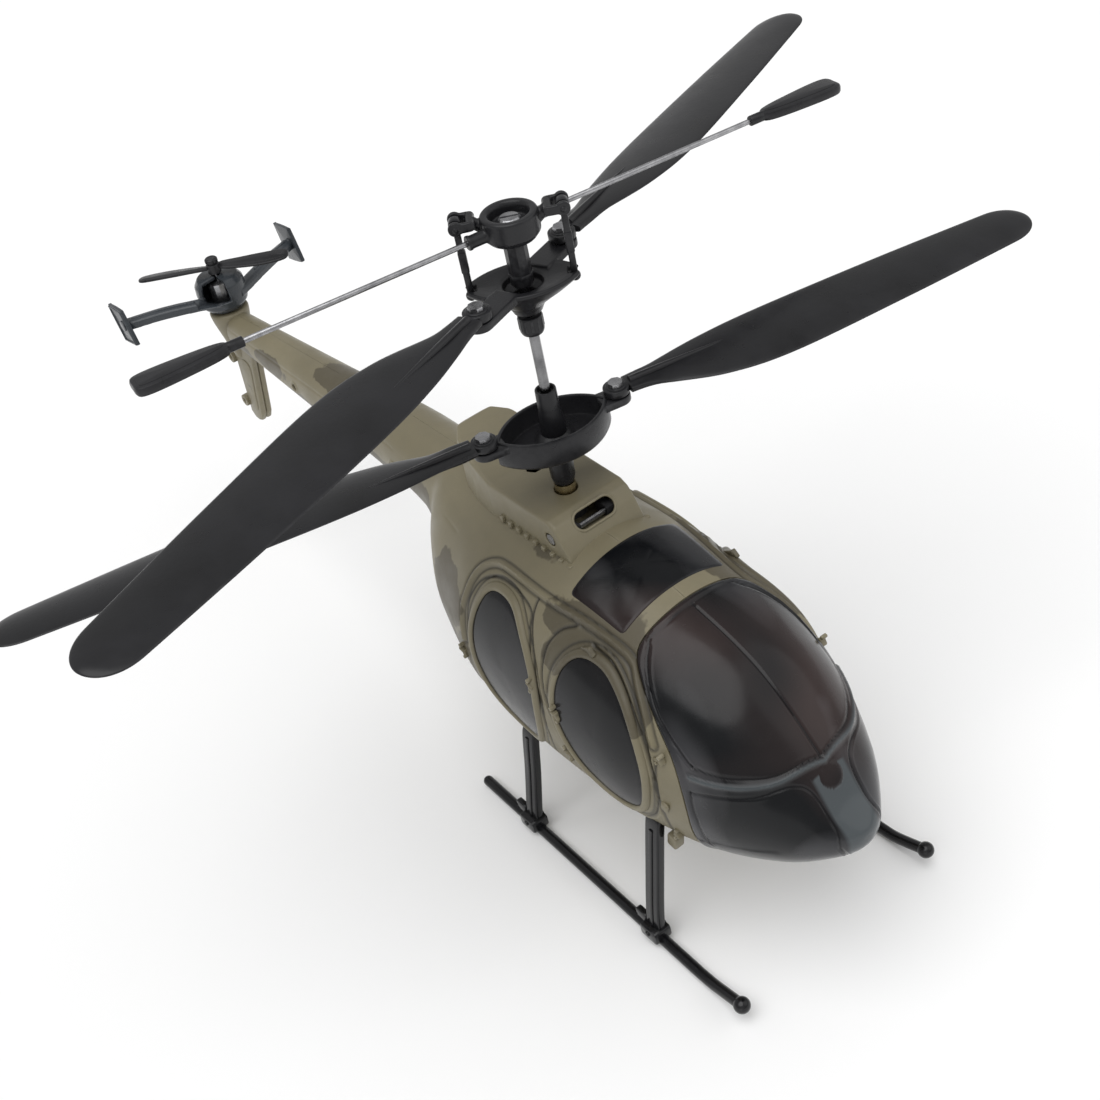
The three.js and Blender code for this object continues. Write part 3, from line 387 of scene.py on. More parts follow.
def piece(name, form, material, body="airframe", stands_for=(), sharp=38):
    """A Blender object from a form, riding on a body."""
    data = bpy.data.meshes.new(name)
    data.from_pydata((form.points * MM + MAST).tolist(), [], form.faces)
    for key, values in (("recess_shade", form.recess_shade), ("camo", form.camo)):
        data.attributes.new(key, "FLOAT", "POINT").data.foreach_set("value", values.astype(np.float32))
    work = bmesh.new()
    work.from_mesh(data)
    bmesh.ops.recalc_face_normals(work, faces=work.faces)
    work.to_mesh(data)
    work.free()
    data.polygons.foreach_set("use_smooth", [True] * len(data.polygons))
    data.set_sharp_from_angle(angle=math.radians(sharp))
    obj = bpy.data.objects.new(name, data)
    bpy.context.scene.collection.objects.link(obj)
    data.materials.append(material)
    if body:
        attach(obj, body)
    if stands_for:
        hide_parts(*([stands_for] if isinstance(stands_for, str) else stands_for))
    return obj


def bake_modifiers(obj):
    """Applies an object's modifiers to its mesh."""
    bpy.context.view_layer.update()
    evaluated = obj.evaluated_get(bpy.context.evaluated_depsgraph_get())
    done = bpy.data.meshes.new_from_object(evaluated)
    obj.modifiers.clear()
    obj.data = done


def carve(obj, form, operation="DIFFERENCE"):
    """Cuts a form out of an object, or joins it on."""
    tool = piece("tool", form, obj.data.materials[0], body=None)
    change = obj.modifiers.new("carve", "BOOLEAN")
    change.operation = operation
    change.solver = "EXACT"
    change.object = tool
    bake_modifiers(obj)
    bpy.data.objects.remove(tool)


# ---- materials ----

def plug(tree, value, socket):
    """Feeds a node's input from another node's output, or gives it a plain value."""
    if isinstance(value, bpy.types.NodeSocket):
        tree.links.new(value, socket)
    else:
        socket.default_value = value


def node(tree, kind, inputs=None, **settings):
    made = tree.nodes.new(kind)
    for key, value in settings.items():
        setattr(made, key, value)
    for key, value in (inputs or {}).items():
        plug(tree, value, made.inputs[key])
    return made


MIX_SHARE, MIX_A, MIX_B, MIX_RESULT = 0, 6, 7, 2  # a Mix node's sockets for colours


def mixed(tree, share, a, b, blend="MIX"):
    """Colour a where share is 0, b where it is 1."""
    made = node(tree, "ShaderNodeMix", data_type="RGBA", blend_type=blend)
    for index, value in ((MIX_SHARE, share), (MIX_A, a), (MIX_B, b)):
        plug(tree, (*value, 1) if isinstance(value, tuple) else value, made.inputs[index])
    return made.outputs[MIX_RESULT]


def noise(tree, scale, detail=4.0, roughness=0.55, stretch=None, distortion=0.0):
    """Noise over the frame's own coordinates; scale is features per metre."""
    place = node(tree, "ShaderNodeTexCoord").outputs["Object"]
    if stretch:
        place = node(tree, "ShaderNodeMapping", {"Vector": place, "Scale": stretch}).outputs[0]
    return node(tree, "ShaderNodeTexNoise", {"Vector": place, "Scale": scale, "Detail": detail,
                                             "Roughness": roughness, "Distortion": distortion}).outputs[0]


def ramp(tree, value, low, high, start=0.0, end=1.0):
    """value from low..high turned into start..end, held beyond."""
    return node(tree, "ShaderNodeMapRange", {"Value": value, "From Min": low, "From Max": high,
                                             "To Min": start, "To Max": end}).outputs[0]


def attribute(tree, name):
    return node(tree, "ShaderNodeAttribute", attribute_name=name).outputs["Fac"]


def new_material(name, metallic=0.0, coat=0.0, coat_roughness=0.08, specular=0.4):
    made = bpy.data.materials.new(name)
    made.use_nodes = True
    shader = made.node_tree.nodes["Principled BSDF"]
    shader.inputs["Metallic"].default_value = metallic
    shader.inputs["Coat Weight"].default_value = coat
    shader.inputs["Coat Roughness"].default_value = coat_roughness
    shader.inputs["Specular IOR Level"].default_value = specular
    return made, made.node_tree, shader


def set_surface(tree, shader, colour, roughness, bump_height, bump_strength):
    tree.links.new(colour, shader.inputs["Base Color"])
    tree.links.new(roughness, shader.inputs["Roughness"])
    bump = node(tree, "ShaderNodeBump", {"Height": bump_height, "Strength": bump_strength,
                                         "Distance": 0.0002})
    tree.links.new(bump.outputs[0], shader.inputs["Normal"])


def edge_wear(tree, colour, worn, amount):
    """Raised edges rubbed a little lighter."""
    edges = node(tree, "ShaderNodeNewGeometry").outputs["Pointiness"]
    rubbed = ramp(tree, edges, 0.53, 0.62, 0.0, amount)
    patchy = ramp(tree, noise(tree, 900, 3), 0.4, 0.6)
    share = node(tree, "ShaderNodeMath", {0: rubbed, 1: patchy}, operation="MULTIPLY").outputs[0]
    return mixed(tree, share, colour, worn)


def plastic(name, colour, lighter, roughness=(0.32, 0.46), grain=2600, bump=0.12, coat=0.0, wear=0.35,
            mottling=60, specular=0.3):
    """Moulded plastic: soft tonal mottling, a fine moulded grain and rubbed edges."""
    made, tree, shader = new_material(name, coat=coat, specular=specular)
    blotches = ramp(tree, noise(tree, mottling, 5), 0.35, 0.65)
    base = mixed(tree, blotches, colour, lighter)
    base = edge_wear(tree, base, tuple(min(1, c * 2.2 + 0.03) for c in lighter), wear)
    rough = ramp(tree, noise(tree, 240, 4), 0.3, 0.7, *roughness)
    set_surface(tree, shader, base, rough, noise(tree, grain, 2), bump)
    return made


def metal(name, colour, darker, roughness=(0.22, 0.38), brush=(1, 1, 14), specks=500):
    made, tree, shader = new_material(name, metallic=1.0)
    stain = ramp(tree, noise(tree, specks, 6), 0.38, 0.7)
    base = mixed(tree, stain, colour, darker)
    lines = noise(tree, 2200, 2, stretch=brush)
    set_surface(tree, shader, base, ramp(tree, lines, 0.3, 0.7, *roughness), lines, 0.08)
    return made


def olive_plastic():
    """Olive-tan satin plastic with soft darker patches and painted shade: dark lines in its grooves."""
    made, tree, shader = new_material("olive_camouflage", specular=0.42)
    light, dark, tan = (0.168, 0.147, 0.092), (0.058, 0.048, 0.029), (0.205, 0.18, 0.115)
    broad = noise(tree, 24, 3, stretch=(1, 0.7, 1), distortion=0.6)
    soft = mixed(tree, ramp(tree, broad, 0.42, 0.62), light, tan)
    patches = node(tree, "ShaderNodeMath", {0: attribute(tree, "camo"),
                                           1: ramp(tree, noise(tree, 170, 3, 0.6), 0.3, 0.7, -0.24, 0.24)},
                   operation="ADD").outputs[0]
    base = mixed(tree, ramp(tree, patches, 0.42, 0.5, 0.0, 0.8), soft, dark)
    mottled = ramp(tree, noise(tree, 320, 6, 0.7), 0.35, 0.7, 0.0, 0.16)
    base = mixed(tree, mottled, base, (0.12, 0.11, 0.08))
    base = edge_wear(tree, base, (0.36, 0.33, 0.25), 0.4)
    # painted shade: grooves, screw holes and joins darkened to near black
    base = mixed(tree, attribute(tree, "recess_shade"), base, (0.018, 0.016, 0.012))
    rough = ramp(tree, noise(tree, 180, 4), 0.3, 0.7, 0.34, 0.5)
    set_surface(tree, shader, base, rough, noise(tree, 3000, 2), 0.14)
    return made


def dark_glazing(name, dark, reflection_grey, warm):
    """Gloss black, as smoked glazing over a dark cabin, with painted reflections: stretched cloudy grey
    streaks in its colour.
    """
    made, tree, shader = new_material(name, coat=0.15, coat_roughness=0.16, specular=0.2)
    # painted reflection: stretched grey streaks in the colour stand for reflected studio light
    reflection_streaks = noise(tree, 55, 2, 0.5, stretch=(1, 0.3, 0.7), distortion=0.5)
    base = mixed(tree, ramp(tree, reflection_streaks, 0.5, 0.72, 0.0, 0.75), dark, reflection_grey)
    tint = ramp(tree, noise(tree, 26, 2, stretch=(1, 0.6, 1)), 0.52, 0.7, 0.0, 0.6)
    base = mixed(tree, tint, base, warm, "ADD")
    base = mixed(tree, attribute(tree, "camo"), base, (0.075, 0.086, 0.092))
    # painted shade: grooves between panes and sunk pane rims darkened to black
    base = mixed(tree, attribute(tree, "recess_shade"), base, (0.003, 0.003, 0.004))
    rough = ramp(tree, noise(tree, 300, 4), 0.3, 0.7, 0.17, 0.28)
    set_surface(tree, shader, base, rough, noise(tree, 1500, 2), 0.03)
    return made


OLIVE = olive_plastic()
# the second colour of each glazing is its painted reflection grey; the door panes get a darker one
GLAZING = dark_glazing("smoked_glazing", (0.0035, 0.004, 0.005), (0.105, 0.105, 0.112),
                       (0.05, 0.03, 0.026))
DOOR_GLAZING = dark_glazing("door_glazing", (0.004, 0.0042, 0.005), (0.02, 0.02, 0.023),
                            (0.015, 0.011, 0.011))
GEAR_BLACK = plastic("gloss_black", (0.005, 0.005, 0.006), (0.01, 0.01, 0.011), (0.14, 0.24), 1800,
                     0.05, coat=0.15, specular=0.25)
ROTOR_BLACK = plastic("rotor_black", (0.01, 0.01, 0.0115), (0.019, 0.019, 0.021), (0.24, 0.38))
BLADE_BLACK = plastic("blade_black", (0.011, 0.011, 0.012), (0.017, 0.017, 0.019), (0.26, 0.36), 1200, 0.08)
FRAME_BLACK = plastic("frame_black", (0.018, 0.018, 0.02), (0.03, 0.03, 0.032), (0.4, 0.6))
TAIL_GREY = plastic("tail_grey", (0.022, 0.026, 0.03), (0.04, 0.046, 0.053), (0.2, 0.34), coat=0.2)
NYLON = plastic("nylon", (0.62, 0.6, 0.53), (0.72, 0.7, 0.63), (0.4, 0.55))
BOARD = plastic("solder_mask", (0.012, 0.09, 0.035), (0.02, 0.14, 0.06), (0.2, 0.35), coat=0.4)
LEAD = plastic("lead_red", (0.25, 0.02, 0.016), (0.36, 0.03, 0.024), (0.4, 0.6))
LENS = plastic("clear_lens", (0.5, 0.52, 0.54), (0.66, 0.68, 0.7), (0.05, 0.1), coat=1.0)
STEEL = metal("brushed_steel", (0.42, 0.42, 0.43), (0.26, 0.26, 0.27))
SHAFT = metal("shaft_steel", (0.25, 0.25, 0.255), (0.13, 0.13, 0.135), (0.2, 0.34), (14, 14, 1), 260)
BRASS = metal("turned_brass", (0.5, 0.42, 0.26), (0.34, 0.28, 0.16))
FOIL = metal("battery_foil", (0.6, 0.62, 0.64), (0.4, 0.42, 0.44), (0.3, 0.5), (1, 1, 1), 900)

# ---- outlines in side view: y, z ----

CANOPY_EDGE = np.array([[-33.8, 0], [-33.8, -8], [-34.4, -12], [-39.6, -16.4], [-43.6, -20],
                        [-48.6, -25.8], [-51.4, -32.4], [-52.4, -40], [-52, -50], [-50.4, -70]])
REAR_WINDOW = [[5.2, -16.6], [8.2, -26], [7, -35.5], [0.5, -43.6], [-8.6, -45.4], [-13, -38],
               [-12.6, -25.5], [-6.2, -16.9], [-0.4, -14.6]]
FRONT_WINDOW = [[-24.6, -15.6], [-21, -19], [-19.8, -25], [-21.2, -32], [-27, -39.6],
                [-35.6, -43.4], [-41.6, -41], [-43.3, -33.5], [-41.6, -26.5], [-37, -19.8], [-31, -16]]
DOOR_WINDOWS = (("rear_door_window", REAR_WINDOW, 110), ("front_door_window", FRONT_WINDOW, 130))
DOOR_RAIL = [[12.4, -31], [12.6, -23.4], [11.8, -19.7], [10.8, -16.2], [9, -13.4], [6, -11.6], [2.1, -11],
             [-7.8, -11], [-19.6, -11], [-28.5, -12], [-34.6, -13.3], [-37.9, -15.9], [-41.5, -19.7],
             [-44.6, -24.4]]
REAR_DOOR = [[10.4, -31], [10.7, -22], [9.6, -17.9], [7.6, -15], [4.7, -13.4], [0.8, -12.7],
             [-4.4, -12.9], [-8.6, -14], [-9.8, -16.8], [-11.2, -20.4], [-13.2, -25], [-15, -31],
             [-16.2, -39], [-15, -46]]
DOOR_GAP = [[-9.1, -11.9], [-9.4, -14], [-10.6, -16.8], [-12.4, -20.4], [-14, -25.4], [-15.8, -32]]
FRONT_DOOR = [[-20.5, -12.1], [-17.7, -13.6], [-15.8, -16.5], [-15.4, -20], [-15.9, -24], [-17.4, -28.4],
              [-20.4, -33.2], [-24.4, -38.8], [-28.6, -43.2], [-33.6, -46.4], [-39.4, -46.4], [-44.2, -42.4],
              [-46.2, -36.4], [-45.4, -30.4], [-43.4, -25.4], [-39.8, -20.6], [-35.6, -16.8], [-31, -14.4],
              [-26, -13.4]]
FRONT_LINE = [[-45.6, -26.6], [-46.4, -34.7], [-47, -42], [-46.4, -50]]


EDGE_FIRST_GUESS = -45.0
EDGE_ROUNDS = 60
EDGE_GAP = 0.15  # the shell and the canopy both stand this far off their common edge


def canopy_edge_y(z):
    edge = smooth(CANOPY_EDGE[1:], 80)
    return np.interp(-z, -edge[:, 1], edge[:, 0])


def edge_station(angle):
    """The station at which the hull's line at this angle crosses the canopy's edge."""
    y = np.full(np.shape(angle), EDGE_FIRST_GUESS)
    for _ in range(EDGE_ROUNDS):
        y = 0.5 * y + 0.5 * canopy_edge_y(hull_point(y, angle)[..., 2])
    return y


def normals_of(points):
    """Outward normals of a grid of hull points, rows along y and columns around."""
    rows = np.gradient(points, axis=0)
    columns = np.gradient(points, axis=1)
    normal = np.cross(rows, columns)
    normal /= np.maximum(np.linalg.norm(normal, axis=2, keepdims=True), 1e-9)
    centre = np.array([0, 0, -30])
    outward = np.sum(normal * (points - centre) * [1, 0, 1], axis=2, keepdims=True)
    return normal * np.where(np.median(outward) < 0, -1, 1)


def bell(d, width):
    return np.exp(-(d / width) ** 2)


def inside(points, outline):
    """Whether (y, z) points lie in a closed outline."""
    result = np.zeros(len(points), bool)
    y, z = points.T
    for (ay, az), (by, bz) in zip(outline, np.roll(outline, -1, 0)):
        crosses = (az > z) != (bz > z)
        at = ay + (z - az) * (by - ay) / np.where(abs(bz - az) < 1e-9, 1e-9, bz - az)
        result ^= crosses & (y < at)
    return result


# ---- body shell ----

DOORS_END_Y = 20
SHELL_STATIONS = np.concatenate([
    np.linspace(DOORS_END_Y, 34, 18, endpoint=False), np.linspace(34, 56, 34, endpoint=False),
    np.linspace(56, 60, 14, endpoint=False), np.linspace(60, 106, 34, endpoint=False),
    np.linspace(106, 110, 14, endpoint=False), np.linspace(110, BOOM_END_Y, 22)])
DOOR_STATIONS = 210  # from the canopy's edge to DOORS_END_Y
SHELL_ANGLES = 90 + 180 * np.concatenate([
    np.linspace(0, 0.09, 12, endpoint=False), np.linspace(0.09, 0.78, 200, endpoint=False),
    np.linspace(0.78, 1, 24)])
SEAM = 0.03  # half of the gap between the two halves
BODY_SCREWS = [(58, -17.4), (108, -18.4)]  # y, z
SHANK_HOLE = (0.9, 1.4)  # radius, depth
HEAD_HOLE = (1.7, 1.9)
CAMO_SPOTS = [  # y, z, reach along y, reach along z, weight
    (-24, -12.5, 12, 4.2, 1.0), (-35.5, -15.8, 6, 4.4, 1.0), (-39.8, -20.5, 3, 4, 0.9),
    (-18.5, -17.5, 4, 4, 0.8),
    (21, -25, 8, 8, 1.0), (26, -36, 9, 9, 0.9), (14, -38, 4, 9, 0.8), (5, -52, 16, 6, 0.8),
    (-30, -52, 20, 5, 0.7), (66, -22.5, 15, 4.6, 1.0), (84, -19.5, 8, 3.4, 0.9), (102, -23, 14, 3.6, 1.0),
    (122, -18, 9, 3, 0.9), (139, -22, 8, 3.5, 0.9), (47, -20, 8, 6, 0.8), (93, -11.5, 9, 1.8, 0.7),
    (-3, -6, 8, 2, 0.5),
]


def camouflage(points):
    value = np.zeros(len(points))
    for y, z, reach_y, reach_z, weight in CAMO_SPOTS:
        away = ((points[:, 1] - y) / reach_y) ** 2 + ((points[:, 2] - z) / reach_z) ** 2
        value = np.maximum(value, weight * np.exp(-0.8 * away ** 2))
    return value


GROOVE_W = 0.3
RAIL_H = 0.5
RAIL_W = 0.5
RAIL_FOOT = 1.05  # from the rail's crest to the groove beside it
WINDOW_LIP = 2.3  # from a window's outline to the groove around it


def relief(points):
    """Height of the doors' rails and grooves over the starboard flank, and the painted shade: dark lines put
    into the grooves.
    """
    height = np.zeros(len(points))
    # painted shade: dark lines put along each groove, where shade falls
    recess_shade = np.zeros(len(points))
    flat = points[:, 1:]
    rail_path = smooth(DOOR_RAIL, 90)
    rail = distance(points, on_flank(rail_path))
    height += RAIL_H * bell(rail, RAIL_W) - 0.22 * bell(rail - RAIL_FOOT, GROOVE_W)
    recess_shade += 0.75 * bell(rail - RAIL_FOOT, 0.28)
    below = inside(flat, np.vstack([rail_path, [[-46.5, -52], [12, -52]]]))
    height -= 0.16 * np.where(below, np.clip(rail / 0.9, 0, 1), 0)
    for path, depth in ((REAR_DOOR, 0.3), (DOOR_GAP, 0.34), (FRONT_LINE, 0.3)):
        away = distance(points, on_flank(smooth(path, 80)))
        height -= depth * bell(away, GROOVE_W)
        recess_shade += bell(away, GROOVE_W)
    front = distance(points, on_flank(smooth(FRONT_DOOR, 110)))
    height += 0.2 * bell(front - 0.7, 0.35) - 0.34 * bell(front, GROOVE_W)
    recess_shade += bell(front, GROOVE_W)
    for window, count in ((REAR_WINDOW, 70), (FRONT_WINDOW, 90)):
        outline = smooth(window, count, closed=True)
        lip = on_flank(grown(outline, WINDOW_LIP))
        away = distance(points, np.vstack([lip, lip[:1]]))
        height -= 0.26 * bell(away, 0.28)
        recess_shade += 0.8 * bell(away, 0.26)
    seam = distance(points, on_flank([[22, -13.2], [60, -12.8], [100, -15], [146, -17.6]]))
    height -= 0.1 * bell(seam, 0.35)
    return height, np.clip(recess_shade, 0, 0.9)


def shell_half(hole_radius, hole_depth):
    """The starboard half of the shell, with screw holes of this size in the boom."""
    front = edge_station(SHELL_ANGLES) + EDGE_GAP
    share = np.linspace(0, 1, DOOR_STATIONS, endpoint=False)[:, None]
    behind = np.repeat(SHELL_STATIONS[:, None], len(SHELL_ANGLES), 1)
    y = np.vstack([front + (DOORS_END_Y - front) * share, behind])
    points = hull_point(y, SHELL_ANGLES)
    points[..., 0] = np.minimum(points[..., 0], -SEAM)
    normal = normals_of(points)
    flat = points.reshape(-1, 3)
    height, recess_shade = relief(flat)
    side = flat[:, 0] < -2
    for hole_y, hole_z in BODY_SCREWS:
        away = np.hypot(flat[:, 1] - hole_y, flat[:, 2] - hole_z)
        height = np.where(side & (away < hole_radius), -hole_depth, height)
        height = np.where(side, height + 0.22 * bell(away - hole_radius - 0.5, 0.35), height)
        # painted shade: the screw holes' insides are darkened
        recess_shade = np.where(side & (away < hole_radius), 0.5, recess_shade)
    moved = points + normal * height.reshape(points.shape[:2] + (1,))
    rim = hull_point(y, SHELL_ANGLES, 1.0)
    rim[..., 0] = np.minimum(rim[..., 0], -SEAM)
    grid = np.concatenate([rim[:1], moved], 0)
    edge_top = np.concatenate([rim[:1, :1], moved[:, :1]], 0) * [1, 1, 1] - [0, 0, 0.9]
    edge_low = np.concatenate([rim[:1, -1:], moved[:, -1:]], 0) + [0, 0, 0.9]
    grid = np.concatenate([edge_top, grid, edge_low], 1)
    values = np.zeros(grid.shape[:2])
    values[1:, 1:-1] = recess_shade.reshape(moved.shape[:2])
    camo = camouflage(grid.reshape(-1, 3))
    return Form(grid, grid_faces(*grid.shape[:2]), values, camo)


def window_frame(window, count):
    """A raised lip around a door window."""
    outline = smooth(window, count, closed=True)
    rings = []
    for out, height in ((-0.25, -0.3), (-0.2, 0.3), (-0.02, 0.52), (0.3, 0.66), (0.75, 0.62), (1.1, 0.4),
                        (1.35, 0.05), (1.45, -0.3)):
        rings.append(on_flank(grown(outline, out), height))
    form = loft(rings, caps=(False, False))
    recess_shade = np.zeros((len(rings), count))
    # painted shade: the frame's inner and outer feet, where it meets the hull, are darkened
    recess_shade[0] = recess_shade[-1] = 0.75
    return Form(form.points, form.faces, recess_shade, camouflage(form.points))


def pane(outline, lay, thickness=1.0, crown=0.12):
    """A glazing panel with a rolled edge: its closed outline, and a function that lays it on the hull."""
    middle = outline.mean(0)
    rings = []
    steps = [(1, -thickness), (1, -0.12), (0.992, crown * 0.3), (0.97, crown), (0.9, crown), (0.75, crown),
             (0.5, crown), (0.25, crown), (0.04, crown)]
    for share, height in steps:
        rings.append(lay(middle + (outline - middle) * share, height))
    form = loft(rings)
    recess_shade = np.zeros(len(form.points))
    # painted shade: the pane's sunk rim, where it meets the hull, is darkened
    recess_shade[:2 * len(outline)] = 0.8
    return Form(form.points, form.faces, recess_shade)


def lump(at, size, turn=0.0, edge=0.25):
    """A small moulded block with round rims: its size along x, y and z, turned about x."""
    half_x, half_y, half_z = (s / 2 for s in size)
    form = plate(rounded_box(half_y, half_z, min(half_y, half_z) * 0.5), -half_x, half_x, edge, SIDE_VIEW)
    return form.placed(tilt(turn), at)


def latch(y, z, turn):
    """A little door catch: a plate, a cross lever and a pin."""
    at = on_flank([[y, z]], 0.2)[0]
    a = math.radians(turn)
    step = np.array([0, math.cos(a), math.sin(a)])
    return (lump(at, (1.1, 2.2, 0.9), turn) + lump(at + step * 1.1 + [0, 0, -0.5], (1.5, 0.8, 1.9), turn + 20)
            + rod(at + step * 1.4 + [-0.9, 0, 0.6], at + step * 1.4 + [0.5, 0, 0.6], 0.45, 12)
            + rod(at - step * 0.5 + [-0.7, 0, -0.8], at - step * 0.5 + [0.5, 0, -0.8], 0.4, 12))


def door_fittings():
    """Catches, the handle at the door's top and small lugs along the joint, on the starboard side."""
    forms = [latch(*place) for place in ((-12.9, -27.2, 100), (-21.0, -29.5, 60), (-46.2, -26.4, 140),
                                         (-47.6, -46.5, 120), (13.6, -35.5, 80), (-23.3, -38.6, 40))]
    handle = on_flank([[-25.4, -14.2]], 0.35)[0]
    grip = lump(handle, (1.0, 3.4, 1.1), -28) + lump(handle + [-0.2, -1.4, 0.3], (1.0, 1.3, 2.0), -50)
    forms.append(lump(on_flank([[-47.6, -37.5]], 0.1)[0], (0.8, 1.9, 2.4), 15, 0.35))
    for y, z in ((34.5, -38.5), (40.5, -24.5), (63, -25.2), (80, -24.6)):
        forms.append(lump(on_flank([[y, z]], 0.1)[0], (1.3, 2.2, 1.2), 50))
    form = total(forms)
    form.camo[:] = 0.12
    grip.camo[:] = 1.0
    return form + grip


FIN_T = 3.4
FIN = [[139, -19], [144.8, -28.4], [148.1, -38.6], [151.4, -49], [153.2, -51.8], [155, -52.5], [157, -52.4],
       [158.8, -50.4], [157.9, -44], [156.2, -32.5], [156.6, -20], [150, -15.6]]
FIN_BOSSES = [[157.4, -31.4], [159, -46.9]]


def fin_half():
    """The starboard half of the fin and its two screw bosses."""
    blade = plate(np.array(FIN), -FIN_T / 2, -SEAM, 0.5, SIDE_VIEW)
    panel = smooth([[147.6, -31], [150.4, -41], [152.6, -47.6], [155.8, -47.8], [154.6, -40], [152.6, -31]],
                   40, closed=True)
    forms = [blade, plate(panel, -FIN_T / 2 - 0.3, -0.6, 0.25, SIDE_VIEW)]
    for y, z in FIN_BOSSES:
        bore = lathe(rounded([[0.75, 0], [1.75, 0], [1.75, 2.6], [0.75, 2.6], [0.75, 0]], 0.3), 32)
        forms.append(bore.placed([[0, 0, -1], [1, 0, 0], [0, 1, 0]], (-SEAM, y, z)))
        forms.append(rod((-SEAM, y, z), (-1.9, y, z), 0.8, 16))
    form = total(forms)
    form.camo[:] = camouflage(form.points) + 0.35 * bell(form.points[:, 2] + 42, 6)
    return form


def fin_neck():
    profile = rounded([[0, -30], [2.2, -30], [3, -27], [4.1, -22], [5.1, -17.6], [5.5, -14.4],
                       [0, -14.4]], 1.2, 5)
    form = lathe(profile, 48).moved(0, TAIL_Y - 0.6, 0)
    form.camo[:] = 0.25
    return form


def body_shell():
    """Both halves of the fuselage: shell, window frames, fittings and fin, each half its own piece."""
    frames = [window_frame(window, count) for _, window, count in DOOR_WINDOWS]
    ornaments = total(frames + [door_fittings(), fin_half()])
    for hand, hole in (("right", SHANK_HOLE), ("left", HEAD_HOLE)):
        form = shell_half(*hole) + ornaments
        form = form + fin_neck() if hand == "right" else form.mirrored()
        piece(f"body_{hand}_half", form, OLIVE,
              stands_for=f"fuselage_{hand}_half", sharp=50)


def door_windows():
    for name, window, count in DOOR_WINDOWS:
        form = pane(smooth(window, count, closed=True), on_flank)
        for hand, one in (("right", form), ("left", form.mirrored())):
            piece(f"{name}_pane_{hand}", one, DOOR_GLAZING,
                  stands_for=f"{name}_{hand}", sharp=60)


def roof_window():
    corners = np.array([[-13.6, -15.6], [13.6, -15.6], [12.9, -30.3], [-12.9, -30.3]])
    reach = 1.1
    outline = []
    for before, here, after in zip(np.roll(corners, 1, 0), corners, np.roll(corners, -1, 0)):
        back = (before - here) / np.linalg.norm(before - here)
        ahead = (after - here) / np.linalg.norm(after - here)
        for t in np.linspace(0, 1, 6):
            outline.append(here + back * reach * (1 - t) ** 2 + ahead * reach * t ** 2)
        run = np.linalg.norm(after - here)
        for t in np.linspace(reach / run, 1 - reach / run, 26)[1:-1]:
            outline.append(here + (after - here) * t)
    form = pane(np.array(outline), on_roof, crown=0.16)
    piece("roof_window_pane", form, GLAZING, stands_for="roof_window", sharp=60)


# ---- canopy ----

PANE_SIDE = [[-10.6, -34.9, -10.6], [-14, -38.2, -14.4], [-16.2, -42.2, -18.4], [-17.6, -46.6, -21.8],
             [-18.3, -52.4, -26]]
PANE_FOOT = [[-18.3, -52.4, -26], [-16.6, -56.4, -26.6], [-13.5, -60.4, -26.8], [-8.4, -64.6, -27],
             [0, -66.9, -27]]
LIP = [[-19.2, -52.4, -28], [-17.4, -56.6, -28.2], [-13.8, -61.2, -28.3], [-8.4, -65.2, -28.2],
       [0, -67.4, -28]]
LOWER_PANE = [[-19.6, -52.8, -31.4], [-17.6, -57.8, -30.6], [-12.4, -63.2, -30.3], [-6.6, -67, -30],
              [-4.6, -69.4, -31.6], [-4.2, -73, -36.4], [-3.6, -75.8, -41], [-3.2, -75.2, -45]]
LOWER_SIDE = [[-19.6, -52.8, -31.4], [-20, -54, -38], [-18.8, -55, -46]]
STRIP_HALF = 4.2
NOSE_DISC_R = 2.5
NOSE_Y_LIMIT = -60  # the strip and its disc lie ahead of this
STRIP_TOP_Z = -29
LIP_H = 0.55
RIM_H = 0.28
RIM_W = 1.6


def onto_canopy(path):
    """A path's points moved onto the hull along the line to its middle axis."""
    path = smooth(path, 60)
    for point in path:
        x, y, z = point
        angles = np.linspace(90, 270, 721)
        ring = hull_point(np.full(721, y), angles)
        point[:] = ring[np.argmin(np.hypot(ring[:, 0] - x, ring[:, 2] - z))]
    return path


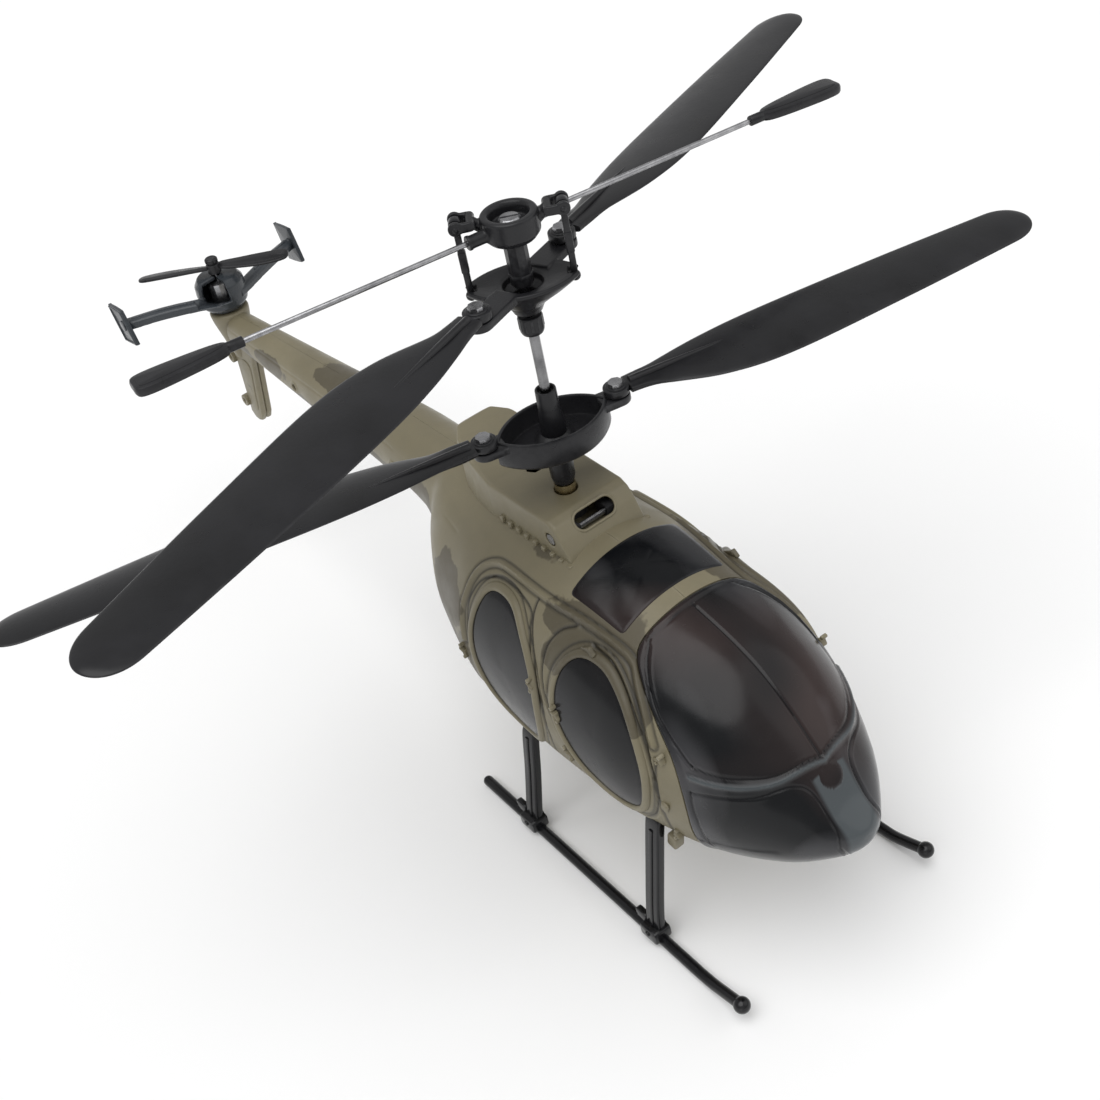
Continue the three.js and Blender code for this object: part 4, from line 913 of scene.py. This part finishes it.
def canopy():
    """The black nose: windscreen panes, the lip below them, lower panes and the strip up the nose."""
    rows, columns = 150, 420
    angles = np.linspace(0, 360, columns, endpoint=False)
    edge = edge_station(angles) - EDGE_GAP
    share = np.linspace(0, 1, rows)[:, None]
    y = edge + (NOSE_Y + 0.02 - edge) * (1 - (1 - share) ** 1.55)
    points = hull_point(y, angles)
    wrapped = np.concatenate([points[:, -1:], points, points[:, :1]], 1)
    normal = normals_of(wrapped)[:, 1:-1]
    flat = points.reshape(-1, 3).copy()
    flat[:, 0] = -np.abs(flat[:, 0])
    height = np.zeros(len(flat))
    recess_shade = np.zeros(len(flat))
    rim = np.abs(y - edge).reshape(-1)
    height += RIM_H * np.clip(1 - rim / RIM_W, 0, 1) ** 0.5 * np.clip(rim / 0.3, 0, 1)
    top = smooth([[-10.6, -34.9, -10.6], [-6, -35.3, -9.2], [0, -35.5, -8.8]], 30)
    middle = on_roof([[0, v] for v in np.linspace(-35.5, -66.7, 60)])
    side, foot, low_front, low_side = map(onto_canopy, (PANE_SIDE, PANE_FOOT, LOWER_PANE, LOWER_SIDE))
    for path, depth, width in ((side, 0.24, 0.32), (foot, 0.2, 0.3), (top, 0.24, 0.32),
                               (middle, 0.26, 0.3), (low_front, 0.22, 0.3), (low_side, 0.22, 0.3)):
        away = distance(flat, path)
        height -= depth * bell(away, width)
        height += 0.07 * bell(away - 0.62, 0.22)
        # painted shade: dark lines along the grooves between the canopy's panes
        recess_shade += 0.9 * bell(away, 0.2)
    lip = distance(flat, onto_canopy(LIP))
    height += LIP_H * bell(lip, LIP_H)
    ahead = flat[:, 1] < NOSE_Y_LIMIT
    strip = (np.abs(flat[:, 0]) < STRIP_HALF) & (flat[:, 2] < STRIP_TOP_Z) & ahead
    disc = np.hypot(flat[:, 0], (flat[:, 1] + 69) * 0.75 + (flat[:, 2] + 30) * 0.65)
    height += 0.16 * np.clip((NOSE_DISC_R - disc) / 0.3, 0, 1) * ahead
    shade = 0.85 * strip * np.clip((STRIP_HALF - np.abs(flat[:, 0])) / 0.8, 0, 1)
    shade = np.where(disc < NOSE_DISC_R, 0.0, shade)
    shade = np.maximum(shade, 0.95 * bell(lip, 0.42))
    moved = points + normal * height.reshape(rows, columns, 1)
    inner = hull_point(y[:1], angles, 1.0)
    grid = np.concatenate([inner, moved], 0)
    form = loft(grid, caps=(False, True))
    recess_shade = np.concatenate([np.zeros(columns), np.clip(recess_shade, 0, 0.9), [0]])
    shade = np.concatenate([np.zeros(columns), shade, [0.6]])
    form = Form(form.points, form.faces, recess_shade, shade)
    piece("cockpit_canopy", form, GLAZING, stands_for="canopy", sharp=60)


def lamp():
    """The nose lamp: a clear lens in a round black bezel."""
    low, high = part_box("nose_lamp")
    at = (np.array((low + high) / 2) - MAST) / MM
    lean = [[1, 0, 0], [0, -0.24, -0.97], [0, 0.97, -0.24]]
    section = [[1.35, -0.6], [2.5, -0.6], [2.5, 0.2], [1.9, 0.75], [1.35, 0.5], [1.35, -0.6]]
    bezel = lathe(rounded(section, 0.25), 40)
    lens = lathe([[0, -1.5], [1.3, -1.5], [1.3, 0.1], [1.05, 0.42], [0.6, 0.6], [0, 0.66]], 32)
    seat = (0, at[1] + 0.2, at[2])
    piece("nose_lamp_bezel", bezel.placed(lean, seat), GEAR_BLACK)
    piece("nose_lamp_lens", lens.placed(lean, seat), LENS, stands_for="nose_lamp")


body_shell()
door_windows()
roof_window()
canopy()
lamp()

# ---- engine cowling ----

COWL_T = 1.1
COWL_ROOF = [[-12.9, -16], [-12.4, -8.6], [-11.2, -5.4], [-9.4, -2.4], [-7.6, -0.2], [-5.6, 0.7], [13, 0.7],
             [20, 2], [26, 4], [30, 4.6], [31.6, 3.6], [31.9, 0], [32.2, -16]]
COWL_PLAN = [[-13, 9.4], [14, 9.6], [21, 8.6], [27, 7], [31, 4], [32.2, 0.8]]  # y, half width
SLOT_AT = (0, -8.5, -1.3)
SLOT_SLOPE = -39
SLOT_HALVES = (5.0, 2.1)  # across, along the slope
MAST_HOLE_R = 2.35
VENT_R = 1.9
VENT_Y = 10.4
SCREW_HOLE_R = 1.5
TOOTH_COUNT = 9
COWL_FLOOR_Z = -9
HOLLOW_FLOOR_Z = -14
COWL_SCREW = (-5.8, -3.6)  # y, z


def fused(obj, voxel=0.2, rounds=3, sharp=60):
    """Merges an object's overlapping parts into one skin with softened edges."""
    merge = obj.modifiers.new("merge", "REMESH")
    merge.mode = "VOXEL"
    merge.voxel_size = voxel * MM
    soften = obj.modifiers.new("soften", "SMOOTH")
    soften.iterations = rounds
    bake_modifiers(obj)
    obj.data.polygons.foreach_set("use_smooth", [True] * len(obj.data.polygons))
    obj.data.set_sharp_from_angle(angle=math.radians(sharp))


def cowling_block(inset, floor_z):
    """The cowling's outside (inset 0) or its hollow, as sections along y."""
    roof_y, roof_z = np.array(COWL_ROOF).T
    plan_y, plan_w = np.array(COWL_PLAN).T
    rings = []
    for y in np.linspace(-12.85 + inset, 32.1 - inset, 150):
        width = np.interp(y, plan_y, plan_w) - inset
        top = max(np.interp(y, roof_y, roof_z) - inset, floor_z + 0.2)
        corner = min(0.8, 0.45 * (top - floor_z), 0.45 * width)
        outline = rounded_box(max(width, 0.3), (top - floor_z) / 2, max(corner, 0.02))
        across, up = outline.T
        rings.append(np.column_stack([across, np.full(len(up), y), up + (top + floor_z) / 2]))
    return loft(rings)


def cowling():
    obj = piece("cowling_shell", cowling_block(0, COWL_FLOOR_Z), OLIVE,
                stands_for="engine_cowling")
    carve(obj, cowling_block(COWL_T, HOLLOW_FLOOR_Z))
    slope = tilt(SLOT_SLOPE)
    slot_outline = rounded_box(*SLOT_HALVES, 2.05, 8)
    along_y = [[1, 0, 0], [0, 0, 1], [0, -1, 0]]
    carve(obj, plate(slot_outline, -4, 4, 0.05, along_y).placed(slope, SLOT_AT))
    carve(obj, plate(circle(MAST_HOLE_R, 40), -3, 4, 0.05))
    carve(obj, plate(circle(VENT_R, 6), -3, 4, 0.05).moved(0, VENT_Y, 0))
    for side in (-1, 1):
        carve(obj, rod((side * 7.6, *COWL_SCREW), (side * 12, *COWL_SCREW), SCREW_HOLE_R, 24, 0.05))
    fused(obj, 0.2, 2)
    rim_path = np.column_stack([slot_outline[:, 0], np.full(len(slot_outline), 0.14), -slot_outline[:, 1]])
    rim = sweep(np.vstack([rim_path, rim_path[:1]]), circle(0.32, 10), up=(0, 1, 0), caps=(False, False))
    piece("cowling_slot_rim", rim.placed(slope, SLOT_AT), OLIVE)
    teeth = []
    for share in np.linspace(0, 1, TOOTH_COUNT):
        y, z = 10.2 - 21.9 * share, -6.4 - 0.9 * share
        teeth.append(lump((-9.75, y, z), (1.1, 1.2, 1.5), 0, 0.2))
    row = total(teeth)
    piece("cowling_base_teeth", row + row.mirrored(), OLIVE)


# ---- rotor head ----

TONGUE_HALF = 2.6
HUB_PIN_Z = 44
NOTCH_X = 10.25
LINK_FOOT_Z = 46.6


def lens_ring(tip, half, z, count=72):
    """A lens of two arcs through (tip, 0) and (0, half), seen from above."""
    radius = (tip ** 2 + half ** 2) / (2 * half)
    x = tip * np.cos(np.linspace(0, 2 * math.pi, count, endpoint=False))
    y = np.sqrt(radius ** 2 - x ** 2) - (radius - half)
    y = np.where(np.arange(count) < count / 2, y, -y)
    return np.column_stack([x, y, np.full(count, z)])


def round_ring(radius, z, like):
    """A circle whose points face the same way as another ring's."""
    a = np.arctan2(like[:, 1], like[:, 0])
    return np.column_stack([radius * np.cos(a), radius * np.sin(a), np.full(len(a), z)])


def bowl(lens, rows):
    """A hub's bowl: rows of (half length, half width, z) are lenses, rows of (radius, z) are round."""
    like = lens_ring(*lens, 0)
    rings = [lens_ring(*row) if len(row) == 3 else round_ring(*row, like) for row in rows]
    return loft(rings, caps=(False, False))


def tongues(z, start=4.6):
    """The two flat arms that carry a pair of blades, from start millimetres out."""
    half_turn = np.linspace(-math.pi / 2, math.pi / 2, 17)
    end = [[BLADE_PIN_R + TONGUE_HALF * math.cos(a), TONGUE_HALF * math.sin(a)] for a in half_turn]
    outline = np.vstack([[[start, TONGUE_HALF], [start, -TONGUE_HALF]], end])
    arm = plate(outline, z - 1.9, z - 0.3, 0.22)
    rib = lump(((start + 12.8) / 2, 0, z - 1.95), (12.8 - start, 1.1, 0.9), 0, 0.2)
    one = arm + rib
    return one + one.turned(180)


def lower_hub():
    sleeve = lathe(rounded([[1.6, 2.74], [2.15, 2.74], [2.45, 4], [2.6, 12], [2.5, 16], [2.15, 20],
                            [2.05, 24.31], [1.6, 24.31], [1.6, 2.74]], 0.2), 56)
    dish = bowl((12, 7.4), [
        (2.3, 11.6), (11.2, 6.8, 11.4), (11.7, 7.15, 11.6), (12, 7.4, 12.1), (12, 7.4, 16.8),
        (11.8, 7.25, 17.1), (11.5, 7.0, 17.2), (11.1, 6.65, 17.1), (11, 6.5, 16.8), (10.8, 6.35, 13.3),
        (10.5, 6.1, 13), (4.3, 13), (3.9, 13.2), (3.2, 14.2), (2.3, 14.6)])
    body = total([sleeve, dish, tongues(LOWER_BLADE_Z, 10.2)]).turned(LOWER_AZIMUTH)
    piece("lower_rotor_hub", body, ROTOR_BLACK, "lower_rotor", "lower_hub")


def upper_hub():
    cradle = bowl((11, 6.4), [
        (2.05, 41.6), (2.7, 41.6), (2.95, 42.2), (3.6, 43.4), (8.2, 5.3, 45.5), (10.3, 6.1, 46.7),
        (11, 6.5, 47.3), (11.1, 6.55, 47.7), (10.8, 6.3, 48), (9.2, 5.4, 47.9), (4.2, 47.4),
        (3.7, 47.1), (3.6, 46), (2.05, 45), (2.05, 41.6)])
    arms = tongues(UPPER_BLADE_Z).turned(UPPER_AZIMUTH - LINK_AZIMUTH)
    pins = [rod((0, y, HUB_PIN_Z), (0, y + 1.2, HUB_PIN_Z), 0.9, 20) for y in (-3.6, 2.4)]
    obj = piece("upper_rotor_hub", total([cradle, arms, *pins]).turned(LINK_AZIMUTH), ROTOR_BLACK,
                "upper_hub", "upper_hub")
    fused(obj, 0.16, 3)
    for side in (0, 180):
        notch = plate(rounded_box(2.15, 1.3, 0.4), 44, 52, 0.05).moved(NOTCH_X, 0, 0)
        carve(obj, notch.turned(LINK_AZIMUTH + side))


def mast_top():
    """The ribbed collar under the upper hub and the faceted neck above it; the cap screw on top is left as
    the CAD part.
    """
    ribs = [lump((2.2, 0, 39.1), (0.35, 0.4, 2.4), 0, 0.1).turned(a) for a in range(0, 360, 30)]
    collar = lathe(rounded([[1.1, 36.84], [2, 36.84], [2.3, 37.6], [2.3, 40.6], [1.1, 40.6], [1.1, 36.84]],
                           0.2), 40)
    piece("upper_collar_ribbed", total([collar] + ribs), ROTOR_BLACK, "upper_rotor",
          "upper_collar")
    neck = plate(circle(2.1, 8), 47, 57.4, 0.25)
    bands = [plate(circle(2.28, 8), z, z + 0.8, 0.15) for z in (48.6, 55.4)]
    neck = total([neck] + bands).turned(LINK_AZIMUTH)
    piece("rotor_neck_faceted", neck, ROTOR_BLACK, "upper_rotor", "rotor_neck", sharp=25)


def carrier():
    """The stabiliser bar's ring with its two forked ears and two rod sockets."""
    ring = lathe(rounded([[3.5, 56.2], [4.2, 56.2], [5.2, 57.4], [5.2, 60.9], [4.9, 61.28], [3.9, 61.28],
                          [3.5, 60.6], [3.5, 56.2]], 0.22), 64)
    dished_floor = lathe(rounded([[2.35, 58.2], [3.6, 58.4], [3.6, 59.1], [2.35, 58.8], [2.35, 58.2]],
                                 0.1), 48)
    foot = EAR_R - 2.6
    forks = [rod((4.4, 0, 58.8), (foot, 0, EAR_Z), 1.05, 20)]
    forks.append(rod((foot, -2.3, EAR_Z), (foot, 2.3, EAR_Z), 0.92, 20))
    forks.append(rod((EAR_R, -2.7, EAR_Z), (EAR_R, 2.7, EAR_Z), 0.45, 16))
    for y in (-1, 1):
        forks.append(rod((EAR_R, y * 1.5, EAR_Z), (EAR_R, y * 2.4, EAR_Z), 1.3, 28))
    for y in (-1.95, 1.95):
        forks.append(lump(((foot + EAR_R) / 2, y, EAR_Z), (EAR_R - foot, 0.9, 1.8), 0, 0.2))
    ear = total(forks)
    socket = rod((4.6, 0, FLYBAR_Z), (8.4, 0, FLYBAR_Z), 1.2, 28)
    socket += rod((8, 0, FLYBAR_Z), (8.7, 0, FLYBAR_Z), 1.35, 28)
    parts = [ring, dished_floor, ear, ear.turned(180)]
    parts += [socket.turned(FLYBAR_TURN), socket.turned(FLYBAR_TURN + 180)]
    obj = piece("stabiliser_carrier", total(parts).turned(LINK_AZIMUTH), ROTOR_BLACK, "flybar",
                "flybar_carrier")
    fused(obj, 0.16, 3)


def link(letter, side):
    body = total([
        rod((EAR_R, -0.9, EAR_Z), (EAR_R, 0.9, EAR_Z), 1.2, 28),
        plate(rounded_box(0.6, 0.7, 0.25), 46.8, EAR_Z - 0.5, 0.1).moved(EAR_R, 0, 0),
        plate(rounded_box(0.72, 0.85, 0.25), 51.5, 55.5, 0.15).moved(EAR_R, 0, 0),
        ball((EAR_R, 0, LINK_FOOT_Z), 1),
    ]).turned(LINK_AZIMUTH + side)
    piece(f"link_rod_{letter}", body, ROTOR_BLACK, f"link_{letter}", f"link_{letter}")


WIRE_ENDS = (5.6, 54)
WIRE_R = 0.5
PADDLE = [[54, -1.4], [62, -2.6], [69, -2.6], [70, 0], [69, 2.6], [62, 2.6], [54, 1.4]]


def flybar_side(letter, side):
    azimuth = LINK_AZIMUTH + FLYBAR_TURN + side
    outline = smooth(PADDLE, 64, closed=True)
    body = plate(outline, -0.9, 0.9, 0.55)
    crown = plate(grown(outline, -0.9), -1.05, 1.05, 0.2)
    sleeve = rod((50.6, 0, 0), (56, 0, 0), 0.95, 24)
    weight = total([body, crown, sleeve]).moved(0, 0, FLYBAR_Z).turned(azimuth)
    piece(f"flybar_paddle_{letter}", weight, ROTOR_BLACK, "flybar", f"flybar_weight_{letter}")
    inner, outer = WIRE_ENDS
    bar = rod((inner, 0, FLYBAR_Z), (outer, 0, FLYBAR_Z), WIRE_R, 20).turned(azimuth)
    piece(f"flybar_wire_{letter}", bar, STEEL, "flybar", f"flybar_rod_{letter}")


# ---- blades ----

BLADE_SPAN = ROTOR_R - BLADE_PIN_R
LEADING = [[0, -2.4], [8, -3.4], [20, -8], [34, -9.8], [60, -8.6], [80, -7.2], [BLADE_SPAN, -6]]
TRAILING = [[0, 2.4], [8, 3.2], [20, 5], [34, 5.8], [60, 5.6], [80, 5], [BLADE_SPAN, 4.4]]
TIP_ROUND = 7.0
TIP_Y = -1.0
BLADE_T = 0.9
ROOT_T = 1.5
ROOT_FLAT = (5, 11)  # from the pin: the flat pad ends, the full pitch begins
TIP_THIN = 2.5
PAD_R = 2.6
CONING = 1.0  # degrees that a blade rises to its tip


def eased(value, low, high):
    t = np.clip((value - low) / (high - low), 0, 1)
    return t * t * (3 - 2 * t)


def blade_form(pitch):
    """A cambered blade: flat at its root pad, then turned to its pitch, thinning to its edges."""
    lead, trail = smooth(LEADING, 400), smooth(TRAILING, 400)
    share = np.linspace(0, 1, 130)
    stations = BLADE_SPAN * (1 - (1 - share) ** 1.6) - 0.02
    stations = stations[stations > 2]
    across = (1 - np.cos(np.linspace(0, math.pi, 18))) / 2
    rings = []
    for x in stations:
        a = np.interp(x, lead[:, 0], lead[:, 1])
        b = np.interp(x, trail[:, 0], trail[:, 1])
        left = max(1 - max((x - BLADE_SPAN + TIP_ROUND) / TIP_ROUND, 0) ** 2.3, 0.0004) ** 0.5
        a, b = TIP_Y + (a - TIP_Y) * left, TIP_Y + (b - TIP_Y) * left
        grown_in = eased(x, *ROOT_FLAT)
        thickness = ROOT_T + (BLADE_T - ROOT_T) * grown_in
        y = a + (b - a) * across
        fat = (4 * across * (1 - across)) ** (0.2 + 0.25 * grown_in)
        camber = 0.035 * (b - a) * np.sin(math.pi * across) * grown_in
        end = math.sqrt(max(1 - max((x - BLADE_SPAN + TIP_THIN) / TIP_THIN, 0) ** 2, 0.02))
        top = thickness * (0.5 + 0.5 * fat * end) + camber
        low = thickness * (0.5 - 0.5 * fat * end) + camber
        p = math.radians(pitch) * grown_in
        rise = x * math.sin(math.radians(CONING)) * grown_in
        ys = np.concatenate([y, y[-2:0:-1]])
        zs = np.concatenate([top, low[-2:0:-1]])
        rings.append(np.column_stack([np.full(len(ys), x), ys * math.cos(p) - zs * math.sin(p),
                                      ys * math.sin(p) + zs * math.cos(p) + rise]))
    sheet = loft(rings)
    pad = plate(circle(PAD_R, 40), 0, ROOT_T, 0.2)
    boss = plate(circle(2.0, 40), 0.4, ROOT_T + 0.22, 0.15)
    spine_path = [[x, 0.2, 1.0 + 0.3 * (1 - eased(x, 6, 30)) + x * 0.016] for x in np.linspace(3, 30, 20)]
    spine = sweep(spine_path, circle(0.75, 14), scale=1.15 - 0.95 * np.linspace(0, 1, 20) ** 1.3)
    return total([sheet, pad, boss, spine])


def blades():
    for level, z, azimuth, pitch in (("lower", LOWER_BLADE_Z, LOWER_AZIMUTH, 7),
                                     ("upper", UPPER_BLADE_Z, UPPER_AZIMUTH, -7)):
        form = blade_form(pitch).moved(BLADE_PIN_R, 0, z)
        for letter, side in (("a", 0), ("b", 180)):
            name = f"{level}_blade_{letter}"
            foil = form.turned(azimuth + side)
            piece(f"{name}_foil", foil, BLADE_BLACK, name, name, sharp=50)


# ---- landing gear ----

FRONT_LEG = [[19.9, -47], [20.9, -48.6], [23.1, -61.3], [24.7, -71.1], [25.6, -78.4]]  # x, z
REAR_LEG = [[19.8, -52.1], [21.2, -54], [22.9, -64.1], [24.4, -72], [25.6, -78.4]]
FRONT_LEG_Y = -41.2
REAR_LEG_Y = 0.2
SKID_X = 25.7
SKID_Z = -79.65
SKID_R = 1.25


def strut(name, leg_line, y, stands_for):
    line = smooth(leg_line, 40)
    path = np.column_stack([-line[:, 0], np.full(len(line), y), line[:, 1]])
    leg = sweep(path, rounded_box(1, 2, 0.45), up=(0, 1, 0))
    rib = sweep(path[4:-3] + [-0.95, 0, 0], rounded_box(0.35, 0.5, 0.2), up=(0, 1, 0))
    clamp = lump((-SKID_X, y, SKID_Z + 1.55), (4.2, 5.2, 3.3), 0, 0.35)
    clip = lump((-SKID_X, y + 3.5, SKID_Z + 3.0), (1.4, 3.6, 3.1), 0, 0.3)
    bolt = rod((-SKID_X - 2.5, y, SKID_Z + 1.9), (-SKID_X + 2.5, y, SKID_Z + 1.9), 0.6, 16)
    cross = lump((0, y, leg_line[0][1]), (2 * leg_line[0][0], 4, 2), 0, 0.3)
    half = total([leg, rib, clamp, clip, bolt])
    piece(name, half + half.mirrored() + cross, GEAR_BLACK, stands_for=stands_for)


def skid(hand, sign):
    bend = [[0, -55, 0], [0, -58.6, 0.35], [0.1, -62.4, 1.4], [0.3, -67.2, 2.95]]
    curve = smooth(bend, 24)
    straight = [[0, y, 0] for y in np.linspace(18.2, -54, 24)]
    path = np.vstack([straight, curve]) * [sign, 1, 1] + [sign * SKID_X, 0, SKID_Z]
    tube = sweep(path, circle(SKID_R - 0.05, 28))
    toe = ball(path[-1], 1.75, 28)
    heel = ball(path[0], SKID_R - 0.05, 24)
    piece(f"skid_tube_{hand}", total([tube, toe, heel]), GEAR_BLACK,
          stands_for=f"skid_{hand}")


def foot_tab():
    """A small moulded tab under the belly, ahead of the front strut."""
    at = (-19.6, -45.4, -51.0)
    form = lump(at, (2.4, 2.6, 3.6), 10, 0.4)
    piece("belly_tabs", form + form.mirrored(), OLIVE)


# ---- tail ----

ARM = [[2.2, -4.5, -9.7], [6, -2.6, -9.6], [16, 2.3, -9.2], [25.4, 7.1, -9.8]]
END_PLATE = [[13.6, -6.6], [12.9, -5.6], [6.2, -4.9], [5.2, -5.6], [2.4, -13.2], [2.9, -14.4], [9.4, -15.6],
             [10.6, -15]]
TAIL_BLADE = [[1.6, -1.2], [7, -2.6], [14, -3.2], [19.5, -2.4], [20.5, 0], [19.1, 1.6], [14, 1.8],
              [7, 1.6], [1.6, 1.2]]
TAIL_BLADE_PITCH = 10
TAIL_ROTOR_AZIMUTH = 145
END_PLATE_X = 25.95
MOTOR_ROOM = (5.2, -12.8, -5.8)  # radius, low z, high z
MOUTH_AT = (-4.75, -4.9)  # x, and y from the tail rotor's axis


def tail_stabiliser():
    cup = lathe(rounded([[0, -14], [5, -14], [6.4, -12.4], [6.8, -9], [6.6, -6.6], [5.4, -4.8], [1.3, -4.4],
                         [1.3, -5.5], [4.6, -5.8], [5.5, -7], [5.7, -9], [5.2, -11.6], [4, -12.8],
                         [0, -12.8]], 0.3), 64).moved(0, TAIL_Y, 0)
    line = smooth(ARM, 34)
    section = [[-1.9, -1.1], [-1, -1.15], [1, -1.15], [1.9, -1.1], [1.9, 0.5], [1.5, 0.95], [0.8, 1.15],
               [-0.8, 1.15], [-1.5, 0.95], [-1.9, 0.5]]
    arm = sweep(line, section).moved(0, TAIL_Y, 0)
    obj = piece("tail_cup_arms", cup + arm + arm.mirrored(), TAIL_GREY,
                stands_for="tail_stabiliser")
    fused(obj, 0.18, 2)
    radius, low, high = MOTOR_ROOM
    carve(obj, plate(circle(radius, 48), low, high, 0.05).moved(0, TAIL_Y, 0))
    mouth_x, mouth_y = MOUTH_AT
    carve(obj, plate(rounded_box(4.25, 4.1, 0.8), -10.5, -2, 0.1).moved(mouth_x, TAIL_Y + mouth_y, 0))
    ridge = sweep(line[12:-2] + [0, 0, 1.1], circle(0.28, 10)).moved(0, TAIL_Y, 0)
    piece("tail_arm_ridges", ridge + ridge.mirrored(), TAIL_GREY)


def end_plate(hand, sign):
    """A swept fin at an arm's end, with a raised rim and a boss."""
    outline = smooth(END_PLATE, 70, closed=True)
    slab = plate(outline, -0.5, 0.5, 0.2, SIDE_VIEW)
    inner = grown(outline, -0.55)
    rim_path = np.column_stack([np.full(len(inner), 0.5 * sign), inner])
    rim = sweep(np.vstack([rim_path, rim_path[:1]]), circle(0.28, 8), up=(1, 0, 0), caps=(False, False))
    boss = rod((-0.9, 7.1, -9.8), (0.9, 7.1, -9.8), 1.5, 24)
    form = total([slab, rim, boss]).moved(sign * END_PLATE_X, TAIL_Y, 0)
    piece(f"tail_plate_{hand}", form, TAIL_GREY, stands_for=f"end_plate_{hand}")


def tail_rotor():
    hub = lathe(rounded([[0.55, -3.9], [1.8, -3.9], [1.8, -1.4], [1.3, -1.2], [1.75, -0.8], [1.75, 0],
                         [1.4, 0.35], [0.55, 0.35], [0.55, -3.9]], 0.15), 40)
    cap = plate(circle(0.9, 24), -1.1, 0.3, 0.1)
    outline = smooth(TAIL_BLADE, 80, closed=True)
    foil = plate(outline, -2.7, -2, 0.3)
    inner = plate(grown(outline, -1.0), -2.75, -1.93, 0.12)
    pitched = (foil + inner).placed(tilt(TAIL_BLADE_PITCH))
    form = total([hub, cap, pitched, pitched.turned(180)]).turned(TAIL_ROTOR_AZIMUTH).moved(0, TAIL_Y, 0)
    piece("tail_rotor_foils", form, ROTOR_BLACK, "tail_rotor", "tail_rotor")


# ---- CAD nodes that stay in view ----

KEPT = {
    STEEL: ["boom_screw_front", "boom_screw_rear", "cowling_screw_right", "cowling_screw_left",
            "cowling_cross_pin", "rear_motor", "front_motor", "tail_motor", "lower_blade_screw_a",
            "lower_blade_screw_b", "upper_blade_screw_a", "upper_blade_screw_b", "rotor_cap_screw"],
    SHAFT: ["outer_shaft", "inner_shaft"],
    BRASS: ["mast_bushing", "rear_pinion", "front_pinion"],
    FRAME_BLACK: ["main_frame", "switch_housing", "charge_socket", "power_switch"],
    NYLON: ["outer_shaft_gear", "inner_shaft_gear"],
    FOIL: ["battery"],
    BOARD: ["circuit_board"],
    LEAD: ["tail_motor_lead"],
}


def dress_kept_nodes():
    for material, names in KEPT.items():
        for name in names:
            data = frame["nodes"][name].data
            data.materials.clear()
            data.materials.append(material)


cowling()
lower_hub()
upper_hub()
mast_top()
carrier()
blades()
for letter, side in (("a", 0), ("b", 180)):
    link(letter, side)
    flybar_side(letter, side)
strut("front_strut_legs", FRONT_LEG, FRONT_LEG_Y, "front_landing_strut")
strut("rear_strut_legs", REAR_LEG, REAR_LEG_Y, "rear_landing_strut")
foot_tab()
tail_stabiliser()
tail_rotor()
for hand, sign in (("right", -1), ("left", 1)):
    skid(hand, sign)
    end_plate(hand, sign)
dress_kept_nodes()


# ---- floor, light and camera ----

FLOOR_SIZE = 60  # metres


def floor():
    bpy.ops.mesh.primitive_plane_add(size=FLOOR_SIZE, location=(0, 0, 0))
    obj = bpy.context.object
    obj.name = "floor"
    made, tree, shader = new_material("pale_floor")
    shade = mixed(tree, ramp(tree, noise(tree, 2, 2), 0.3, 0.7), (0.93, 0.93, 0.93), (0.95, 0.95, 0.95))
    rough = ramp(tree, noise(tree, 3, 2), 0, 1, 0.85, 0.95)
    set_surface(tree, shader, shade, rough, noise(tree, 50, 2), 0.01)
    obj.data.materials.append(made)


def soft_sun(name, towards, strength, spread):
    light = bpy.data.lights.new(name, "SUN")
    light.energy = strength
    light.angle = math.radians(spread)
    obj = bpy.data.objects.new(name, light)
    obj.rotation_euler = Vector(towards).to_track_quat("-Z", "Y").to_euler()
    bpy.context.scene.collection.objects.link(obj)


def lights():
    world = bpy.data.worlds.new("studio")
    bpy.context.scene.world = world
    world.use_nodes = True
    back = world.node_tree.nodes["Background"]
    back.inputs["Color"].default_value = (1, 1, 1, 1)
    back.inputs["Strength"].default_value = 0.5
    soft_sun("key", (0.35, 0.1, -0.93), 1.75, 60)
    soft_sun("fill", (-0.55, 0.5, -0.67), 0.5, 60)


def camera():
    """The view from ahead of the starboard side and above, in millimetres from the mast's foot."""
    right = Vector((0.776006, -0.607138, -0.170876))
    up = Vector((0.498955, 0.425201, 0.755147))
    forward = Vector((0.385822, 0.671258, -0.632893))
    eye = Vector((-124.062, -204.278, 181.326))
    data = bpy.data.cameras.new("camera")
    data.sensor_width = 36
    data.lens = 49.815
    data.clip_start = 0.01
    obj = bpy.data.objects.new("camera", data)
    turn = Matrix((right, up, -forward)).transposed().to_4x4()
    obj.matrix_world = Matrix.Translation(eye * MM + Vector(MAST)) @ turn
    bpy.context.scene.collection.objects.link(obj)
    bpy.context.scene.camera = obj


floor()
lights()
camera()
bpy.context.scene.view_settings.view_transform = "Standard"
